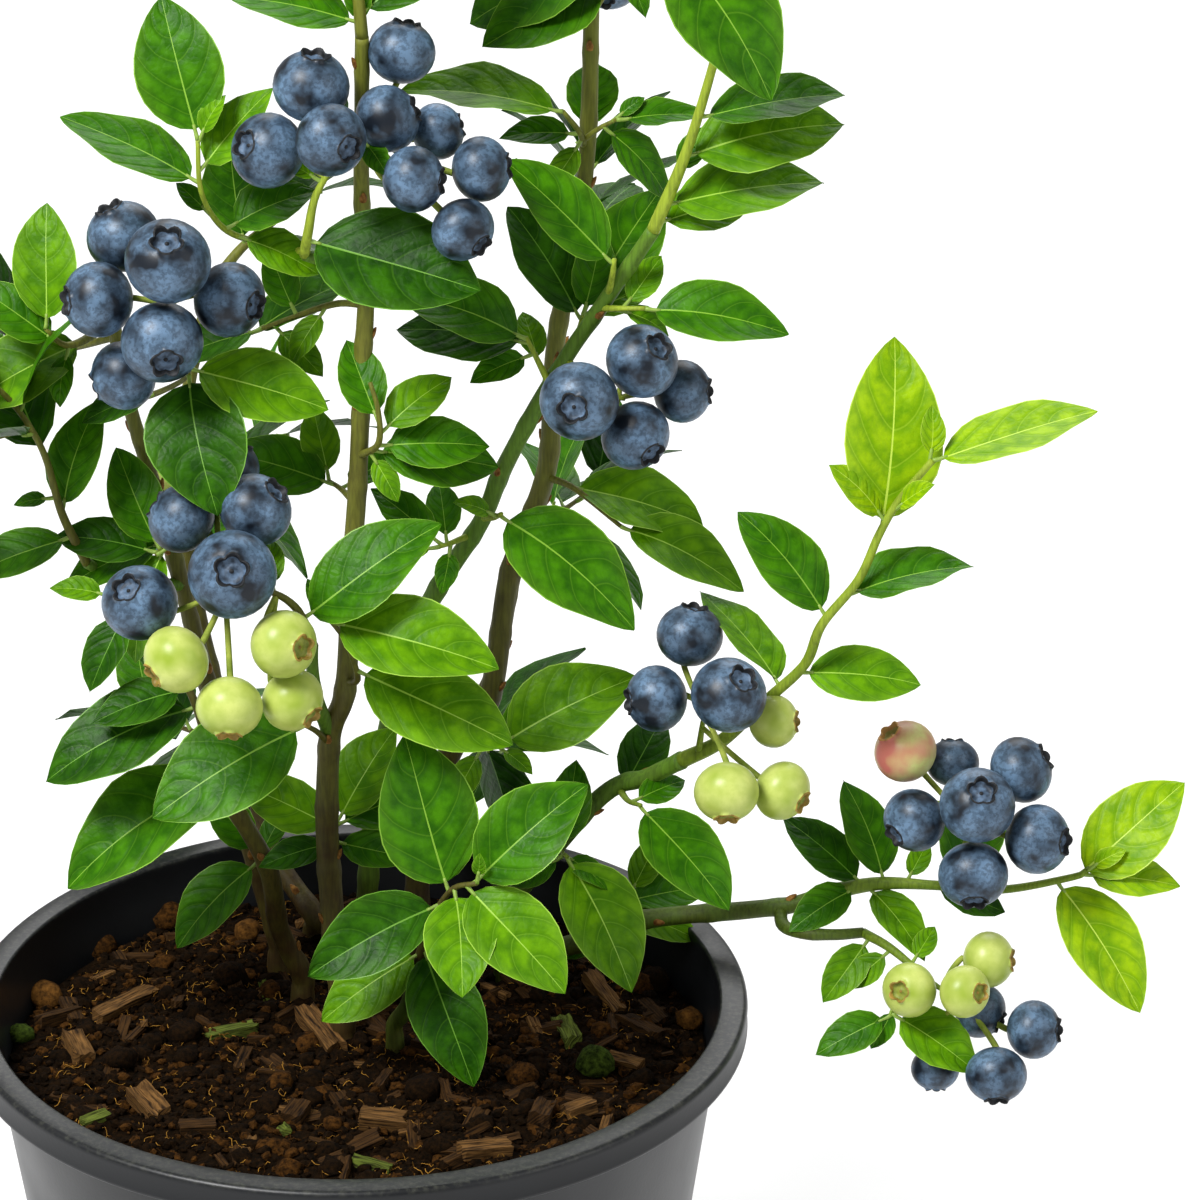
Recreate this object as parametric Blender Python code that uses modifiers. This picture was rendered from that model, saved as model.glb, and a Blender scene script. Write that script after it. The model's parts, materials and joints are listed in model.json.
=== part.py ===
"""Blueberry bush in a three-litre nursery pot.

Canes rise from flat feet on the soil. Boughs and leafy sprays start a hair
clear of the limb that carries them. Each spray is one solid: twigs, leaves
and berries joined. Metres, +Z up, origin at the centre of the pot's underside.
"""
import math
import random
from itertools import combinations

import bmesh
import bpy
from mathutils import Matrix, Vector
from mathutils.bvhtree import BVHTree

MM = 0.001

# Pot, turned from plastic sheet, millimetres
POT_HEIGHT = 150.0
POT_RIM_RADIUS = 95.0
POT_FOOT_RADIUS = 68.0
POT_WALL = 1.8
POT_FLOOR = 3.0
LIP_DEPTH = 7.5
LIP_LEAN = 0.2
SHOULDER_RADIUS = 88.0
SHOULDER_HEIGHT = 139.5
MOUTH_RADIUS = 88.5
POT_SEGMENTS = 32
DRAIN_HOLES = 6
DRAIN_RADIUS = 5.0
DRAIN_CIRCLE = 48.0

# Soil, millimetres
SOIL_TOP = 136.0
SOIL_EDGE = 133.5
SOIL_PLATEAU = 58.0
SEAT = 0.3

# Limbs, twigs, leaves and fruit, millimetres
LIMB_SIDES = 7
LIMB_STEP = 15.0
BOUGH_STEP = 6.0
TWIG_SIDES = 3
TWIG_STEP = 16.0
FLARE = 1.35
FLARE_HEIGHT = 12.0
LEAF_BREADTH = 0.50
LEAF_LEAST = 14.0
LEAF_THICKNESS = 0.8
LEAF_SINK = 1.3
LEAF_TIP = 1.8
LEAF_ARCH = 0.28
LEAF_FOLD = 0.22
LEAF_CLEAR = 0.45
LEAF_FULLNESS = 0.63
LEAF_NARROWING = 0.13
LEAN_TRIES = (0, 8, -8, 16, -16, 24, -24, 34, -34, 46, -46)
BERRY_TRIES = (0, 2, -2, 4, -4, 7, -7, 10)
STALK_RADIUS = 0.6
BERRY_GAP = 0.2
RACEME = (0.58, 0.70, 0.82, 0.93)
GOLDEN_ANGLE = 137.5
SETTLE_PASSES = 40
FINE_STEP = 0.1
FINE_COUNT = 140
SEAT_TRIES = 12

# The bush is measured from the front, by an eye that looks down on it
EYE_TILT = math.radians(23.6)
EYE_DISTANCE = 1200.0
EYE_RIGHT = 59.0
EYE_RISE = 96.0

RIGHT = Vector((1, 0, 0))
RISE = Vector((0, math.sin(EYE_TILT), math.cos(EYE_TILT)))
NEAR = Vector((0, -math.cos(EYE_TILT), math.sin(EYE_TILT)))
UP = Vector((0, 0, 1))
RIM_CENTRE = Vector((0, 0, POT_HEIGHT))
EYE = RIM_CENTRE + NEAR * EYE_DISTANCE + RIGHT * EYE_RIGHT + RISE * EYE_RISE
CROWN_AXIS = Vector((10, 30, 0))

# Canes: foot on the soil as (right, back), then the course seen from the
# front as (right, up from the rim's centre, nearer than the pot's axis)
CANES = {
    "cane_a": ((-15, 23), [(-19, 16, -20), (-22, 31, -14), (-31, 47, -8)], 5.8, 4.0),
    "cane_b": ((-4, 4), [(-7, 30, -8), (-7, 61, -5), (-3, 74, -3), (-2, 96, -5), (0, 125, -8),
                         (1, 150, -10), (2, 173, -12), (1, 194, -12), (1, 213, -8),
                         (1, 233, -6)], 6.2, 3.2),
    "cane_c": ((13, 36), [(15, 31, -42), (23, 60, -44), (32, 72, -44), (37, 102, -45),
                          (46, 128, -44), (48, 157, -42), (53, 183, -40), (56, 207, -40),
                          (57, 242, -40), (58, 275, -38), (60, 306, -36)], 6.4, 3.0),
    "cane_d": ((0, 38), [(4, 45, -37), (11, 80, -34), (19, 98, -30), (30, 115, -26), (35, 127, -24),
                         (43, 142, -20), (52, 157, -16), (59, 167, -14), (72, 186, -8)], 5.6, 3.4),
    "cane_e": ((23, 25), [(57, 46, -30), (71, 53, -25), (79, 57, -20)], 5.4, 4.2),
    "cane_f": ((35, 34), [(52, 12, -31), (69, 18, -29), (95, 20.5, -27), (107, 22, -26),
                          (115, 25, -24)], 5.6, 4.2),
    "cane_g": ((9, -2), [(12, -3, 4), (15, 8, 8)], 4.6, 3.2),
    "cane_h": ((-22, 42), [(-28, 43, -44), (-38, 81, -46), (-47, 115, -44), (-56, 145, -40),
                           (-60, 167, -36)], 5.6, 3.2),
    "cane_i": ((13, 54), [(16, 38, -68), (25, 64, -84), (33, 78, -88), (38, 102, -92), (46, 128, -92),
                          (50, 170, -92)], 5.6, 3.0),
    "cane_j": ((-14, 56), [(-25, 42, -72), (-36, 80, -90), (-42, 112, -96), (-42, 142, -96),
                           (-36, 172, -94)], 5.6, 3.0),
}

# Boughs: the limb that carries them, their course from its middle, thickness
BOUGHS = {
    "bough_b_left": ("cane_b", [(-7, 64, -4), (-10, 72, 2), (-11, 79, 7), (-11, 85, 10)], 3.6, 2.8),
    "bough_b_high": ("cane_b", [(2, 176, -11), (-5, 178, -5), (-13, 180, 1)], 3.2, 2.6),
    "bough_f_low": ("cane_f", [(103, 21.5, -27), (103.5, 17, -21), (108, 15, -15), (116, 14.5, -13),
                               (123, 15, -15)], 3.4, 2.6),
    "bough_h_left": ("cane_h", [(-43, 100, -45), (-52, 99, -38), (-59, 101, -32), (-66, 105, -28)],
                     3.4, 2.6),
}


def leaf(share, bearing, length, lean=0, breadth=LEAF_BREADTH):
    """A leaf on a twig: where along it, which way it points as seen, how long."""
    return {"share": share, "bearing": bearing, "length": length, "lean": lean,
            "breadth": breadth}


def spiral(count, first=0, size=34, start=0.25):
    """Leaves that climb a twig by the golden angle, smaller towards the tip."""
    leaves = []
    for index in range(count):
        along = index / max(1, count - 1)
        leaves.append({"share": start + (1 - start) * along, "turn": first + index * GOLDEN_ANGLE,
                       "length": size * (1 - 0.30 * along), "spread": 66 - 26 * along,
                       "breadth": LEAF_BREADTH})
    return leaves


def bunch(count, size=16, seed=0):
    """Berries packed on a golden spiral round the end of their stalk."""
    draw = random.Random(seed)
    berries = []
    for index in range(count):
        level = 0.9 - 1.5 * index / max(1, count - 1)
        ring = math.sqrt(max(0.0, 1 - level * level))
        turn = math.radians(index * GOLDEN_ANGLE + seed * 40)
        reach = size * draw.uniform(0.80, 0.95)
        berries.append((reach * ring * math.cos(turn), -reach * level * 0.9,
                        reach * ring * math.sin(turn), size * draw.uniform(0.88, 1.08)))
    return berries


def twig(course, leaves=(), fruit=(), girth=1.9):
    """One twig of a spray: its course, its leaves and the berries at its tip."""
    return {"course": course, "leaves": list(leaves), "fruit": list(fruit), "girth": girth}


# Berries of the seven bunches, from the end of their stalk as seen: right,
# up, nearer, and each one's diameter
BUNCH_LEFT = [(-10, 15, 0, 17.5), (2, 8, 11, 20), (-15, 0, 2, 17.5), (15, 0, 3, 17.5),
              (0, -10, 5, 19), (-10, -17, -6, 16)]
BUNCH_TOP = [(-14, 9, 4, 17.5), (-24, -5, 0, 17.5), (-9, -4, 11, 16.5), (3, 2, 0, 15.5),
             (6, 17.5, -4, 15.5), (14, 0, -8, 13), (24, -9, -2, 15), (9, -12, 5, 15),
             (20, -23, 0, 15)]
BUNCH_RIGHT = [(-10.5, -1, 8, 18.5), (4, 8.5, 5, 17.5), (13.5, 2, -4, 15), (2.5, -8.5, 0, 16.5)]
BUNCH_MIDDLE = [(5, 3.5, 9, 20.5), (-17, -3, 4, 18), (9.5, 18.5, -1, 17.5), (-8, 16.5, -6, 16.5),
                (3, 29, -9, 14), (-8, -16, 6, 16), (16.5, -12.5, 6, 16), (4, -27, 6, 16),
                (18, -25.5, -2, 15)]
BUNCH_E = [(-4, 17, -3, 16.5), (-12, 2, 2, 16), (5, 3, 9, 18.5), (16, -3.5, -3, 13),
           (4.5, -20, 5, 16), (18, -20, 2, 14.5)]
BUNCH_F = [(-16, 16.5, 0, 15.5), (12, 12, 0, 16.5), (0.5, 4, 9, 18.5), (-14, 0, 4, 16),
           (15.5, -4.5, 4, 17), (0, -13, 5, 17), (-4, 13.5, -8, 13)]
BUNCH_LOW = [(-14, 3, 6, 13.5), (-1, 3, 9, 13), (5.5, 10, 0, 14), (4, -3, -1, 13.5),
             (16.5, -7, 3, 14.5), (7, -17.5, 3, 15), (-7, -17, -5, 12)]

# Sprays: the limb that carries each, then its twigs, the first from that limb.
# Those with fruit and the leaves that stand in front come first.
SPRAYS = {
    "fruit_b_left": ("bough_b_left", [
        twig([(-11, 85, 10), (-15, 94, 16), (-23, 98.5, 19), (-35, 98.5, 18)],
             [leaf(0.28, 31, 37, 6), leaf(0.6, 100, 14, -30)], BUNCH_MIDDLE)]),
    "fruit_h_front": ("cane_h", [
        twig([(-56, 145, -40), (-50, 146, -24), (-42, 150, -8), (-41, 154, -3)],
             [leaf(0.9, -82, 33, 12, 0.70), leaf(0.95, -19, 32, 0, 0.52), leaf(0.45, 200, 18)]),
        twig([(-41, 153, -4), (-44, 160, -2), (-47, 169, -2)], [], BUNCH_LEFT, 1.6)]),
    "fruit_b_high": ("bough_b_high", [
        twig([(-13, 180, 1), (-12, 186, 5), (-10, 195, 6), (-4, 204, 5), (4, 211, 3)],
             [leaf(0.15, -21, 40, 10, 0.56), leaf(0.9, -50, 13, 35), leaf(0.55, 150, 9, 10)],
             BUNCH_TOP)]),
    "fruit_d_right": ("cane_d", [
        twig([(51, 155, -16), (56, 147, -10), (65, 145, -5)], [leaf(0.5, 250, 9, -10)],
             BUNCH_RIGHT)]),
    "spray_g": ("cane_g", [
        twig([(15, 8, 8), (18, 18, 16), (23, 25.5, 23), (29, 27, 27)],
             [leaf(0.10, 212, 28), leaf(0.16, -73, 34, 8), leaf(0.62, 206, 34, 6),
              leaf(0.76, 110, 37, 0, 0.58), leaf(0.97, 42, 34, 0, 0.55), leaf(0.92, -50, 33, 10, 0.58),
              leaf(0.82, -79, 27, 30, 0.62), leaf(1.0, 80, 8, 30)], (), 2.2)]),
    "spray_e": ("cane_e", [
        twig([(79, 57, -20), (89, 62, -14), (100, 72, -8), (109, 80.5, -4), (113, 90, 0),
              (122, 101, 2), (127, 112, 2), (132, 120.5, 2), (140, 130, 2)],
             [leaf(0.34, 126, 32, -12, 0.40), leaf(0.40, -6, 28), leaf(0.57, 127, 31),
              leaf(0.64, 16, 29, 0, 0.38), leaf(0.81, 84, 43), leaf(1.0, 13, 38, 0, 0.30),
              leaf(0.99, 83, 13),
              leaf(0.83, 131, 19, 20), leaf(0.86, 30, 13, 40)], (), 3.2),
        twig([(83, 59, -17), (84, 66, -8), (85, 70, -4)], [], BUNCH_E, 1.8)]),
    "spray_f": ("cane_f", [
        twig([(115, 25, -24), (127.5, 27, -21), (141, 26.5, -18), (157, 25.5, -15), (174, 28.5, -12),
              (177.5, 30, -12)],
             [leaf(0.14, 142, 25, -8), leaf(0.12, 208, 20, 8), leaf(0.15, -51, 23, 20),
              leaf(0.22, 108, 26, -10), leaf(0.40, -23, 19, -10), leaf(0.30, 60, 12, -20),
              leaf(0.50, 78, 30, -35), leaf(0.88, -58, 36, 6, 0.50), leaf(0.96, 37, 33, 0, 0.56),
              leaf(0.98, -8, 23), leaf(1.0, 35, 11, 20)], (), 3.0),
        twig([(144, 26.5, -17.5), (147, 34, -12), (149.5, 42.5, -7)], [], BUNCH_F, 1.8)]),
    "spray_f_low": ("bough_f_low", [
        twig([(123, 15, -15), (130, 11, -8), (141, 2, 0), (148, -1.5, 3)],
             [leaf(0.08, 235, 19, 5), leaf(0.3, 225, 15, -20), leaf(0.5, 55, 12, -30)], BUNCH_LOW),
        twig([(135, 7, -4), (132, 1, 1), (130, -5, 3)],
             [leaf(1.0, 207, 20), leaf(0.97, -34, 24, 6, 0.6), leaf(0.8, 247, 12, -10)], (), 1.5)]),
    "leaf_d_front": ("cane_d", [
        twig([(30, 116, -26), (33, 116, -19), (35, 117, -14)],
             [leaf(0.9, -37, 40, 5, 0.56), leaf(0.8, 160, 12, 30)])]),
    "leaves_b_right": ("cane_b", [
        twig([(-3, 76, -3), (0, 77, 5), (-3, 86, 11), (-7.5, 92, 13)],
             [leaf(0.42, -28, 39, 4), leaf(0.95, -18, 39, 8), leaf(0.98, 120, 10)])]),
    "leaf_b_fold": ("cane_b", [
        twig([(-7, 61, -5), (-10, 64, 2), (-14, 66, 6)],
             [leaf(0.9, 210, 40, 4, 0.56), leaf(0.8, 120, 11, -10)])]),
    "leaf_d_left": ("cane_d", [
        twig([(61, 170, -13), (62, 175, -8), (62.5, 179, -6)], [leaf(0.9, 140, 33, 4)])]),
    "spray_d": ("cane_d", [
        twig([(72, 186, -8), (80, 205, -4), (87, 228, 0), (90, 242, 2), (92, 256, 3)],
             [leaf(0.10, 6, 35, 0, 0.44), leaf(0.03, 14, 25, -22), leaf(0.28, 13, 36, -10),
              leaf(0.20, 62, 13), leaf(0.42, 5, 32, 0, 0.36), leaf(0.88, 10, 30, -10),
              leaf(0.98, 70, 30), leaf(1.0, 120, 20, 20)], (), 2.8),
        twig([(87, 232, 0), (82, 246, 4), (76, 256, 8)],
             [leaf(0.97, -55, 39, 6, 0.6), leaf(0.8, 160, 30), leaf(0.95, 100, 27, 10)], (), 1.8)]),
    "leaves_d_right": ("cane_d", [
        twig([(59, 167, -14), (64, 167, -8), (70, 167, -6)],
             [leaf(1.0, -9, 32), leaf(0.5, -22, 14, -25), leaf(0.6, 50, 16, -20)])]),
    "leaves_d_fork": ("cane_d", [
        twig([(47, 148, -18), (43, 156, -14), (41, 160, -13)],
             [leaf(0.97, 159, 31, 4), leaf(0.9, 174, 31, -14), leaf(0.7, 204, 16, 10),
              leaf(0.45, 110, 15, -30)])]),
    "leaves_d_behind": ("cane_d", [
        twig([(53, 159, -16), (54, 162, -22), (55, 166, -26)],
             [leaf(0.8, 123, 31, -8), leaf(0.9, 75, 20), leaf(1.0, 62, 34, -14),
              leaf(0.95, 20, 18, -20)])]),
    "leaves_d_low": ("cane_d", [
        twig([(28, 112, -27), (23, 110, -22), (20, 109, -20)],
             [leaf(0.9, 146, 21), leaf(1.0, 190, 11), leaf(0.7, 262, 12, 10), leaf(0.8, 100, 17, -30)])]),
    "leaf_e_low": ("cane_e", [
        twig([(64, 49.5, -28), (66, 47, -18), (69, 46, -13)],
             [leaf(0.95, -51, 32, 6, 0.54), leaf(0.6, 72, 24, -20), leaf(0.7, 20, 16, -30)])]),
    "leaves_e_foot": ("cane_e", [
        twig([(48, 36, -29), (49, 35, -20), (51, 33.5, -12)],
             [leaf(0.95, -61, 35, 2, 0.56), leaf(0.75, -35, 14, 20), leaf(0.6, 80, 22, -10),
              leaf(0.85, 215, 15, -15)])]),
    "leaves_f_foot": ("cane_f", [
        twig([(58, 14, -30), (62, 20, -37), (66, 24, -41)],
             [leaf(0.7, -25, 21, 5), leaf(0.85, 8, 22, -10), leaf(1.0, 60, 16, -10),
              leaf(0.6, 230, 17, -15)])]),
    "leaves_c_mid": ("cane_c", [
        twig([(46, 126, -44), (53, 123, -36), (64, 114, -30)],
             [leaf(0.35, -18, 33, -6), leaf(1.0, -24, 32, -8)])]),
    "leaves_c_low": ("cane_c", [
        twig([(24, 61, -44), (30, 60, -32), (35, 61, -24)],
             [leaf(1.0, 29, 35, 0, 0.56), leaf(0.9, -38, 11, 10), leaf(0.8, 22, 36, -25),
              leaf(0.55, 120, 20, -30), leaf(0.6, 240, 15)])]),
    "leaves_c_high": ("cane_c", [
        twig([(55, 207, -39), (54, 210, -31), (50, 215, -27)],
             [leaf(1.0, 173, 36, 0, 0.36), leaf(0.5, 183, 18, 0, 0.5), leaf(0.3, 240, 14, -10)]),
        twig([(55, 208, -35), (59, 211, -31), (63, 213, -30)],
             [leaf(1.0, 3, 20, 0, 0.42), leaf(0.9, 38, 9), leaf(0.7, -44, 23, -20)], (), 1.6)]),
    "spray_c_fork": ("cane_c", [
        twig([(57, 239, -40), (61, 246, -38), (63, 257, -34), (66, 268, -30)],
             [leaf(0.25, 211, 31, 8, 0.56), leaf(0.45, 204, 36, -16, 0.54),
              leaf(0.5, -62, 16, 10)] + spiral(5, 55, 32, 0.5))]),
    "spray_c_back": ("cane_c", [
        twig([(57, 254, -40), (62, 262, -54), (70, 272, -66), (76, 284, -72)], spiral(6, 100, 34)),
        twig([(64, 264, -57), (62, 262, -66), (64, 258, -72)], [], bunch(4, 16, 3), 1.6)]),
    "spray_c_crown": ("cane_c", [
        twig([(60, 306, -36), (62, 324, -36), (60, 342, -38), (58, 356, -40)],
             spiral(8, 35, 36, 0.1), (), 2.6),
        twig([(61, 316, -36), (50, 322, -30), (38, 330, -26)], spiral(4, 200, 32, 0.5), (), 1.8)]),
    "leaves_h_left": ("cane_h", [
        twig([(-60, 167, -36), (-64, 161, -27), (-71, 158, -19), (-76, 162, -16)],
             [leaf(0.5, 211, 33, 0, 0.56), leaf(0.8, 151, 24), leaf(1.0, 85, 28, 0, 0.56),
              leaf(0.7, 260, 14)])]),
    "spray_left": ("bough_h_left", [
        twig([(-66, 105, -28), (-72, 117, -22), (-77, 133, -17), (-86, 146, -12), (-98, 154, -8)],
             [leaf(0.14, 205, 26), leaf(0.25, 76, 27), leaf(0.32, 190, 10)]
             + spiral(6, 60, 34, 0.5), (), 2.2),
        twig([(-80, 138, -15), (-94, 134, -13), (-108, 131, -10)], [], bunch(3, 16, 7), 1.6)]),
    "leaves_h_mid": ("cane_h", [
        twig([(-47, 115, -44), (-46, 111, -32), (-49, 107, -25)],
             [leaf(0.7, 200, 26, -5), leaf(0.9, 118, 26, -6), leaf(1.0, 32, 22, -10),
              leaf(0.8, 252, 28, -8), leaf(0.95, 168, 24)])]),
    "spray_h_crown": ("cane_h", [
        twig([(-59, 160, -37), (-74, 157, -50), (-92, 160, -58), (-108, 170, -62)],
             spiral(7, 0, 34, 0.55))]),
    "leaves_a_tip": ("cane_a", [
        twig([(-31, 47, -8), (-37, 63, -4), (-41, 74, -2), (-50, 89, -5), (-60, 97, -8)],
             [leaf(0.10, 209, 43, 0, 0.46), leaf(0.46, 202, 38), leaf(0.54, 196, 23, 8),
              leaf(0.93, 251, 21), leaf(1.0, 169, 14), leaf(0.3, 60, 16, -25)], (), 2.6)]),
    "leaves_a_low": ("cane_a", [
        twig([(-21, 26, -16), (-24, 31, -23), (-24, 34, -28)],
             [leaf(0.8, 225, 28, 0, 0.52), leaf(1.0, 133, 20, -5), leaf(0.9, 60, 14, -15)])]),
    "leaves_b_foot": ("cane_b", [
        twig([(-7, 33, -8), (-6, 38, -14), (-5, 43, -17)],
             [leaf(0.8, 158, 25, 0, 0.52), leaf(0.45, 197, 18, 10), leaf(0.9, 56, 26, -5, 0.6),
              leaf(0.85, 20, 24, -10, 0.6), leaf(0.5, -16, 20, 10)])]),
    "leaves_b_high": ("cane_b", [
        twig([(0, 131, -8), (5, 134, -2), (5, 142, 0), (3, 149, -1)],
             [leaf(0.35, 0, 25, -6), leaf(0.25, -12, 30, -20), leaf(0.6, 115, 21, -12),
              leaf(0.5, 42, 21, -15), leaf(0.2, -60, 13)])]),
    "leaves_b_behind": ("cane_b", [
        twig([(-1, 120, -8), (-4, 123, -14), (-7, 125, -18)],
             [leaf(0.8, 163, 27, -8, 0.55), leaf(1.0, 100, 18, -10), leaf(0.6, 30, 16, -25)])]),
    "leaves_b_dark": ("cane_b", [
        twig([(1, 168, -11), (-6, 168, -17), (-18, 164, -22), (-26, 161, -25)],
             [leaf(1.0, 28, 32, -8, 0.40), leaf(0.6, 116, 17), leaf(0.9, 200, 22), leaf(0.35, 240, 15),
              leaf(0.8, -50, 16)])]),
    "leaves_b_top": ("bough_b_high", [
        twig([(-9, 179.5, -1.5), (-14, 181, -8), (-21, 182.5, -12), (-32, 186, -7), (-38, 195, 1),
              (-39, 208, 2)],
             [leaf(0.45, -22, 20, -6), leaf(0.52, 25, 22, -4, 0.6), leaf(0.62, 138, 11),
              leaf(0.82, 151, 33, 0, 0.36), leaf(0.87, 47, 24), leaf(1.0, 104, 32, 0, 0.60),
              leaf(0.99, 62, 12, 10)])]),
    "spray_b_crown": ("cane_b", [
        twig([(1, 233, -6), (0, 244, -6), (-2, 258, -8), (-4, 272, -10)],
             [leaf(0.10, 170, 29, 0, 0.42), leaf(0.15, 38, 30, -10), leaf(0.05, 95, 13, 10)]
             + spiral(6, 80, 34, 0.4), (), 2.4)]),
    "spray_i_low": ("cane_i", [
        twig([(26, 66, -84), (31, 62, -98), (37, 60, -112)], spiral(6, 30, 36, 0.4))]),
    "spray_i_mid": ("cane_i", [
        twig([(42, 116, -92), (50, 118, -108), (58, 124, -118)], spiral(6, 10, 36, 0.35)),
        twig([(47, 117, -103), (49, 112, -112), (50, 108, -117)], [], bunch(3, 14, 5), 1.6)]),
    "spray_i_crown": ("cane_i", [
        twig([(50, 170, -92), (54, 184, -94), (56, 198, -98), (55, 210, -100)],
             spiral(8, 80, 35, 0.15), (), 2.4)]),
    "spray_j_low": ("cane_j", [
        twig([(-31.5, 64, -83), (-40, 64, -98), (-50, 68, -108)], spiral(6, 80, 36, 0.3))]),
    "spray_j_mid": ("cane_j", [
        twig([(-42.5, 122, -96), (-32, 128, -112), (-20, 136, -122)], spiral(6, 140, 36, 0.3)),
        twig([(-32, 128, -112), (-35, 125, -120), (-39, 121, -124)], [], bunch(4, 17, 11), 1.6)]),
    "spray_j_crown": ("cane_j", [
        twig([(-36, 172, -94), (-28, 182, -98), (-18, 190, -102), (-8, 198, -104)],
             spiral(6, 15, 31, 0.35), (), 2.4)]),
}


def seen(right, rise, near):
    """The point that a front view puts at (right, rise), `near` before the axis."""
    through = RIM_CENTRE + RIGHT * right + RISE * rise - EYE
    return EYE + through * ((-near - EYE.y) / through.y)


def smooth(points, step):
    """Evenly spaced points on a Catmull-Rom curve through the given ones."""
    ends = [points[0] * 2 - points[1]] + list(points) + [points[-1] * 2 - points[-2]]
    fine = []
    for a, b, c, d in zip(ends, ends[1:], ends[2:], ends[3:]):
        for tenth in range(10):
            t = tenth / 10
            fine.append(0.5 * (2 * b + (c - a) * t + (2 * a - 5 * b + 4 * c - d) * t * t
                               + (3 * b - a - 3 * c + d) * t ** 3))
    fine.append(points[-1])
    lengths = [0.0]
    for a, b in zip(fine, fine[1:]):
        lengths.append(lengths[-1] + (b - a).length)
    count = max(2, round(lengths[-1] / step))
    spaced = []
    place = 0
    for index in range(count + 1):
        target = lengths[-1] * index / count
        while place < len(fine) - 2 and lengths[place + 1] < target:
            place += 1
        part = (target - lengths[place]) / max(1e-9, lengths[place + 1] - lengths[place])
        spaced.append(fine[place].lerp(fine[place + 1], min(1.0, part)))
    return spaced


def point_at(points, share):
    """Point and direction at a share of a course of evenly spaced points."""
    place = min(len(points) - 2, int(share * (len(points) - 1)))
    part = share * (len(points) - 1) - place
    direction = (points[place + 1] - points[place]).normalized()
    return points[place].lerp(points[place + 1], part), direction


def sweep(points, radii, sides):
    """A tapering limb: a disc pushed along the course ring by ring, ends closed."""
    bm = bmesh.new()
    bmesh.ops.create_circle(bm, cap_ends=True, segments=sides, radius=1)
    heading = (points[1] - points[0]).normalized()
    turn = UP.rotation_difference(heading)
    last = Matrix()
    cap = bm.faces[:][0]
    for index, (point, radius) in enumerate(zip(points, radii)):
        before = points[max(0, index - 1)]
        after = points[min(len(points) - 1, index + 1)]
        ahead = (after - before).normalized()
        turn = heading.rotation_difference(ahead) @ turn
        heading = ahead
        place = Matrix.Translation(point) @ turn.to_matrix().to_4x4() @ Matrix.Scale(radius, 4)
        verts = list(cap.verts)
        if index:
            pushed = bmesh.ops.extrude_face_region(bm, geom=[cap])["geom"]
            if index > 1:
                bmesh.ops.delete(bm, geom=[cap], context="FACES_ONLY")
            verts = [item for item in pushed if isinstance(item, bmesh.types.BMVert)]
            cap = [item for item in pushed if isinstance(item, bmesh.types.BMFace)][0]
        bmesh.ops.transform(bm, matrix=place @ last.inverted(), verts=verts)
        last = place
    bmesh.ops.recalc_face_normals(bm, faces=bm.faces)
    return bm


def blade(base, direction, face, length, breadth, grow=0.0):
    """A leaf of twelve faces: a flat lens, folded up at the sides and arched."""
    bm = bmesh.new()
    bmesh.ops.create_uvsphere(bm, u_segments=6, v_segments=2, radius=1)
    side = face.cross(direction)
    place = Matrix((direction, side, face)).transposed().to_4x4()
    place.translation = base - direction * LEAF_SINK
    for vert in bm.verts:
        along = (vert.co.y + 1) / 2
        half = breadth * length * (LEAF_FULLNESS - LEAF_NARROWING * along) + grow
        across = -vert.co.x * half
        lift = LEAF_FOLD * abs(across) + LEAF_ARCH * length * along * (1 - along)
        high = vert.co.z * (LEAF_THICKNESS / 2 + grow)
        reach = along * (length + LEAF_SINK + grow)
        vert.co = place @ Vector((reach, across, high + lift))
    return bm


def ball(centre, diameter, grow=0.0):
    """A berry."""
    bm = bmesh.new()
    bmesh.ops.create_uvsphere(bm, u_segments=5, v_segments=4, radius=diameter / 2 + grow,
                              matrix=Matrix.Translation(centre))
    return bm


def settled(fruit):
    """The berries of a bunch, eased apart along the line of sight until clear."""
    berries = [list(berry) for berry in fruit]
    for _ in range(SETTLE_PASSES):
        for a, b in combinations(berries, 2):
            wanted = ((a[3] + b[3]) / 2 + BERRY_GAP) ** 2 - (a[0] - b[0]) ** 2 - (a[1] - b[1]) ** 2
            apart = abs(a[2] - b[2])
            if wanted > apart * apart:
                push = (math.sqrt(wanted) - apart) / 2
                ahead, behind = (a, b) if a[2] > b[2] else (b, a)
                ahead[2] += push
                behind[2] -= push
    return berries


def to_polygons(bm):
    """Points and faces of a shape, for the tests of what touches what."""
    bm.verts.index_update()
    return [v.co.copy() for v in bm.verts], [[v.index for v in f.verts] for f in bm.faces]


def tree_of(shapes):
    """One search tree over several shapes."""
    points = []
    faces = []
    for verts, polygons in shapes:
        offset = len(points)
        points += verts
        faces += [[offset + index for index in polygon] for polygon in polygons]
    return BVHTree.FromPolygons(points, faces)


def touches(bm, tree):
    """Whether a shape meets anything in the tree."""
    verts, faces = to_polygons(bm)
    return bool(BVHTree.FromPolygons(verts, faces).overlap(tree))


def tapered(points, start, end, foot=False):
    """Radii along a course, from two diameters; a cane swells into its foot."""
    radii = []
    run = 0.0
    for index, point in enumerate(points):
        if index:
            run += (point - points[index - 1]).length
        share = index / (len(points) - 1)
        radius = (start + (end - start) * share) / 2
        if foot:
            radius *= 1 + (FLARE - 1) * max(0.0, 1 - run / FLARE_HEIGHT) ** 2
        radii.append(radius)
    return radii


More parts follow.
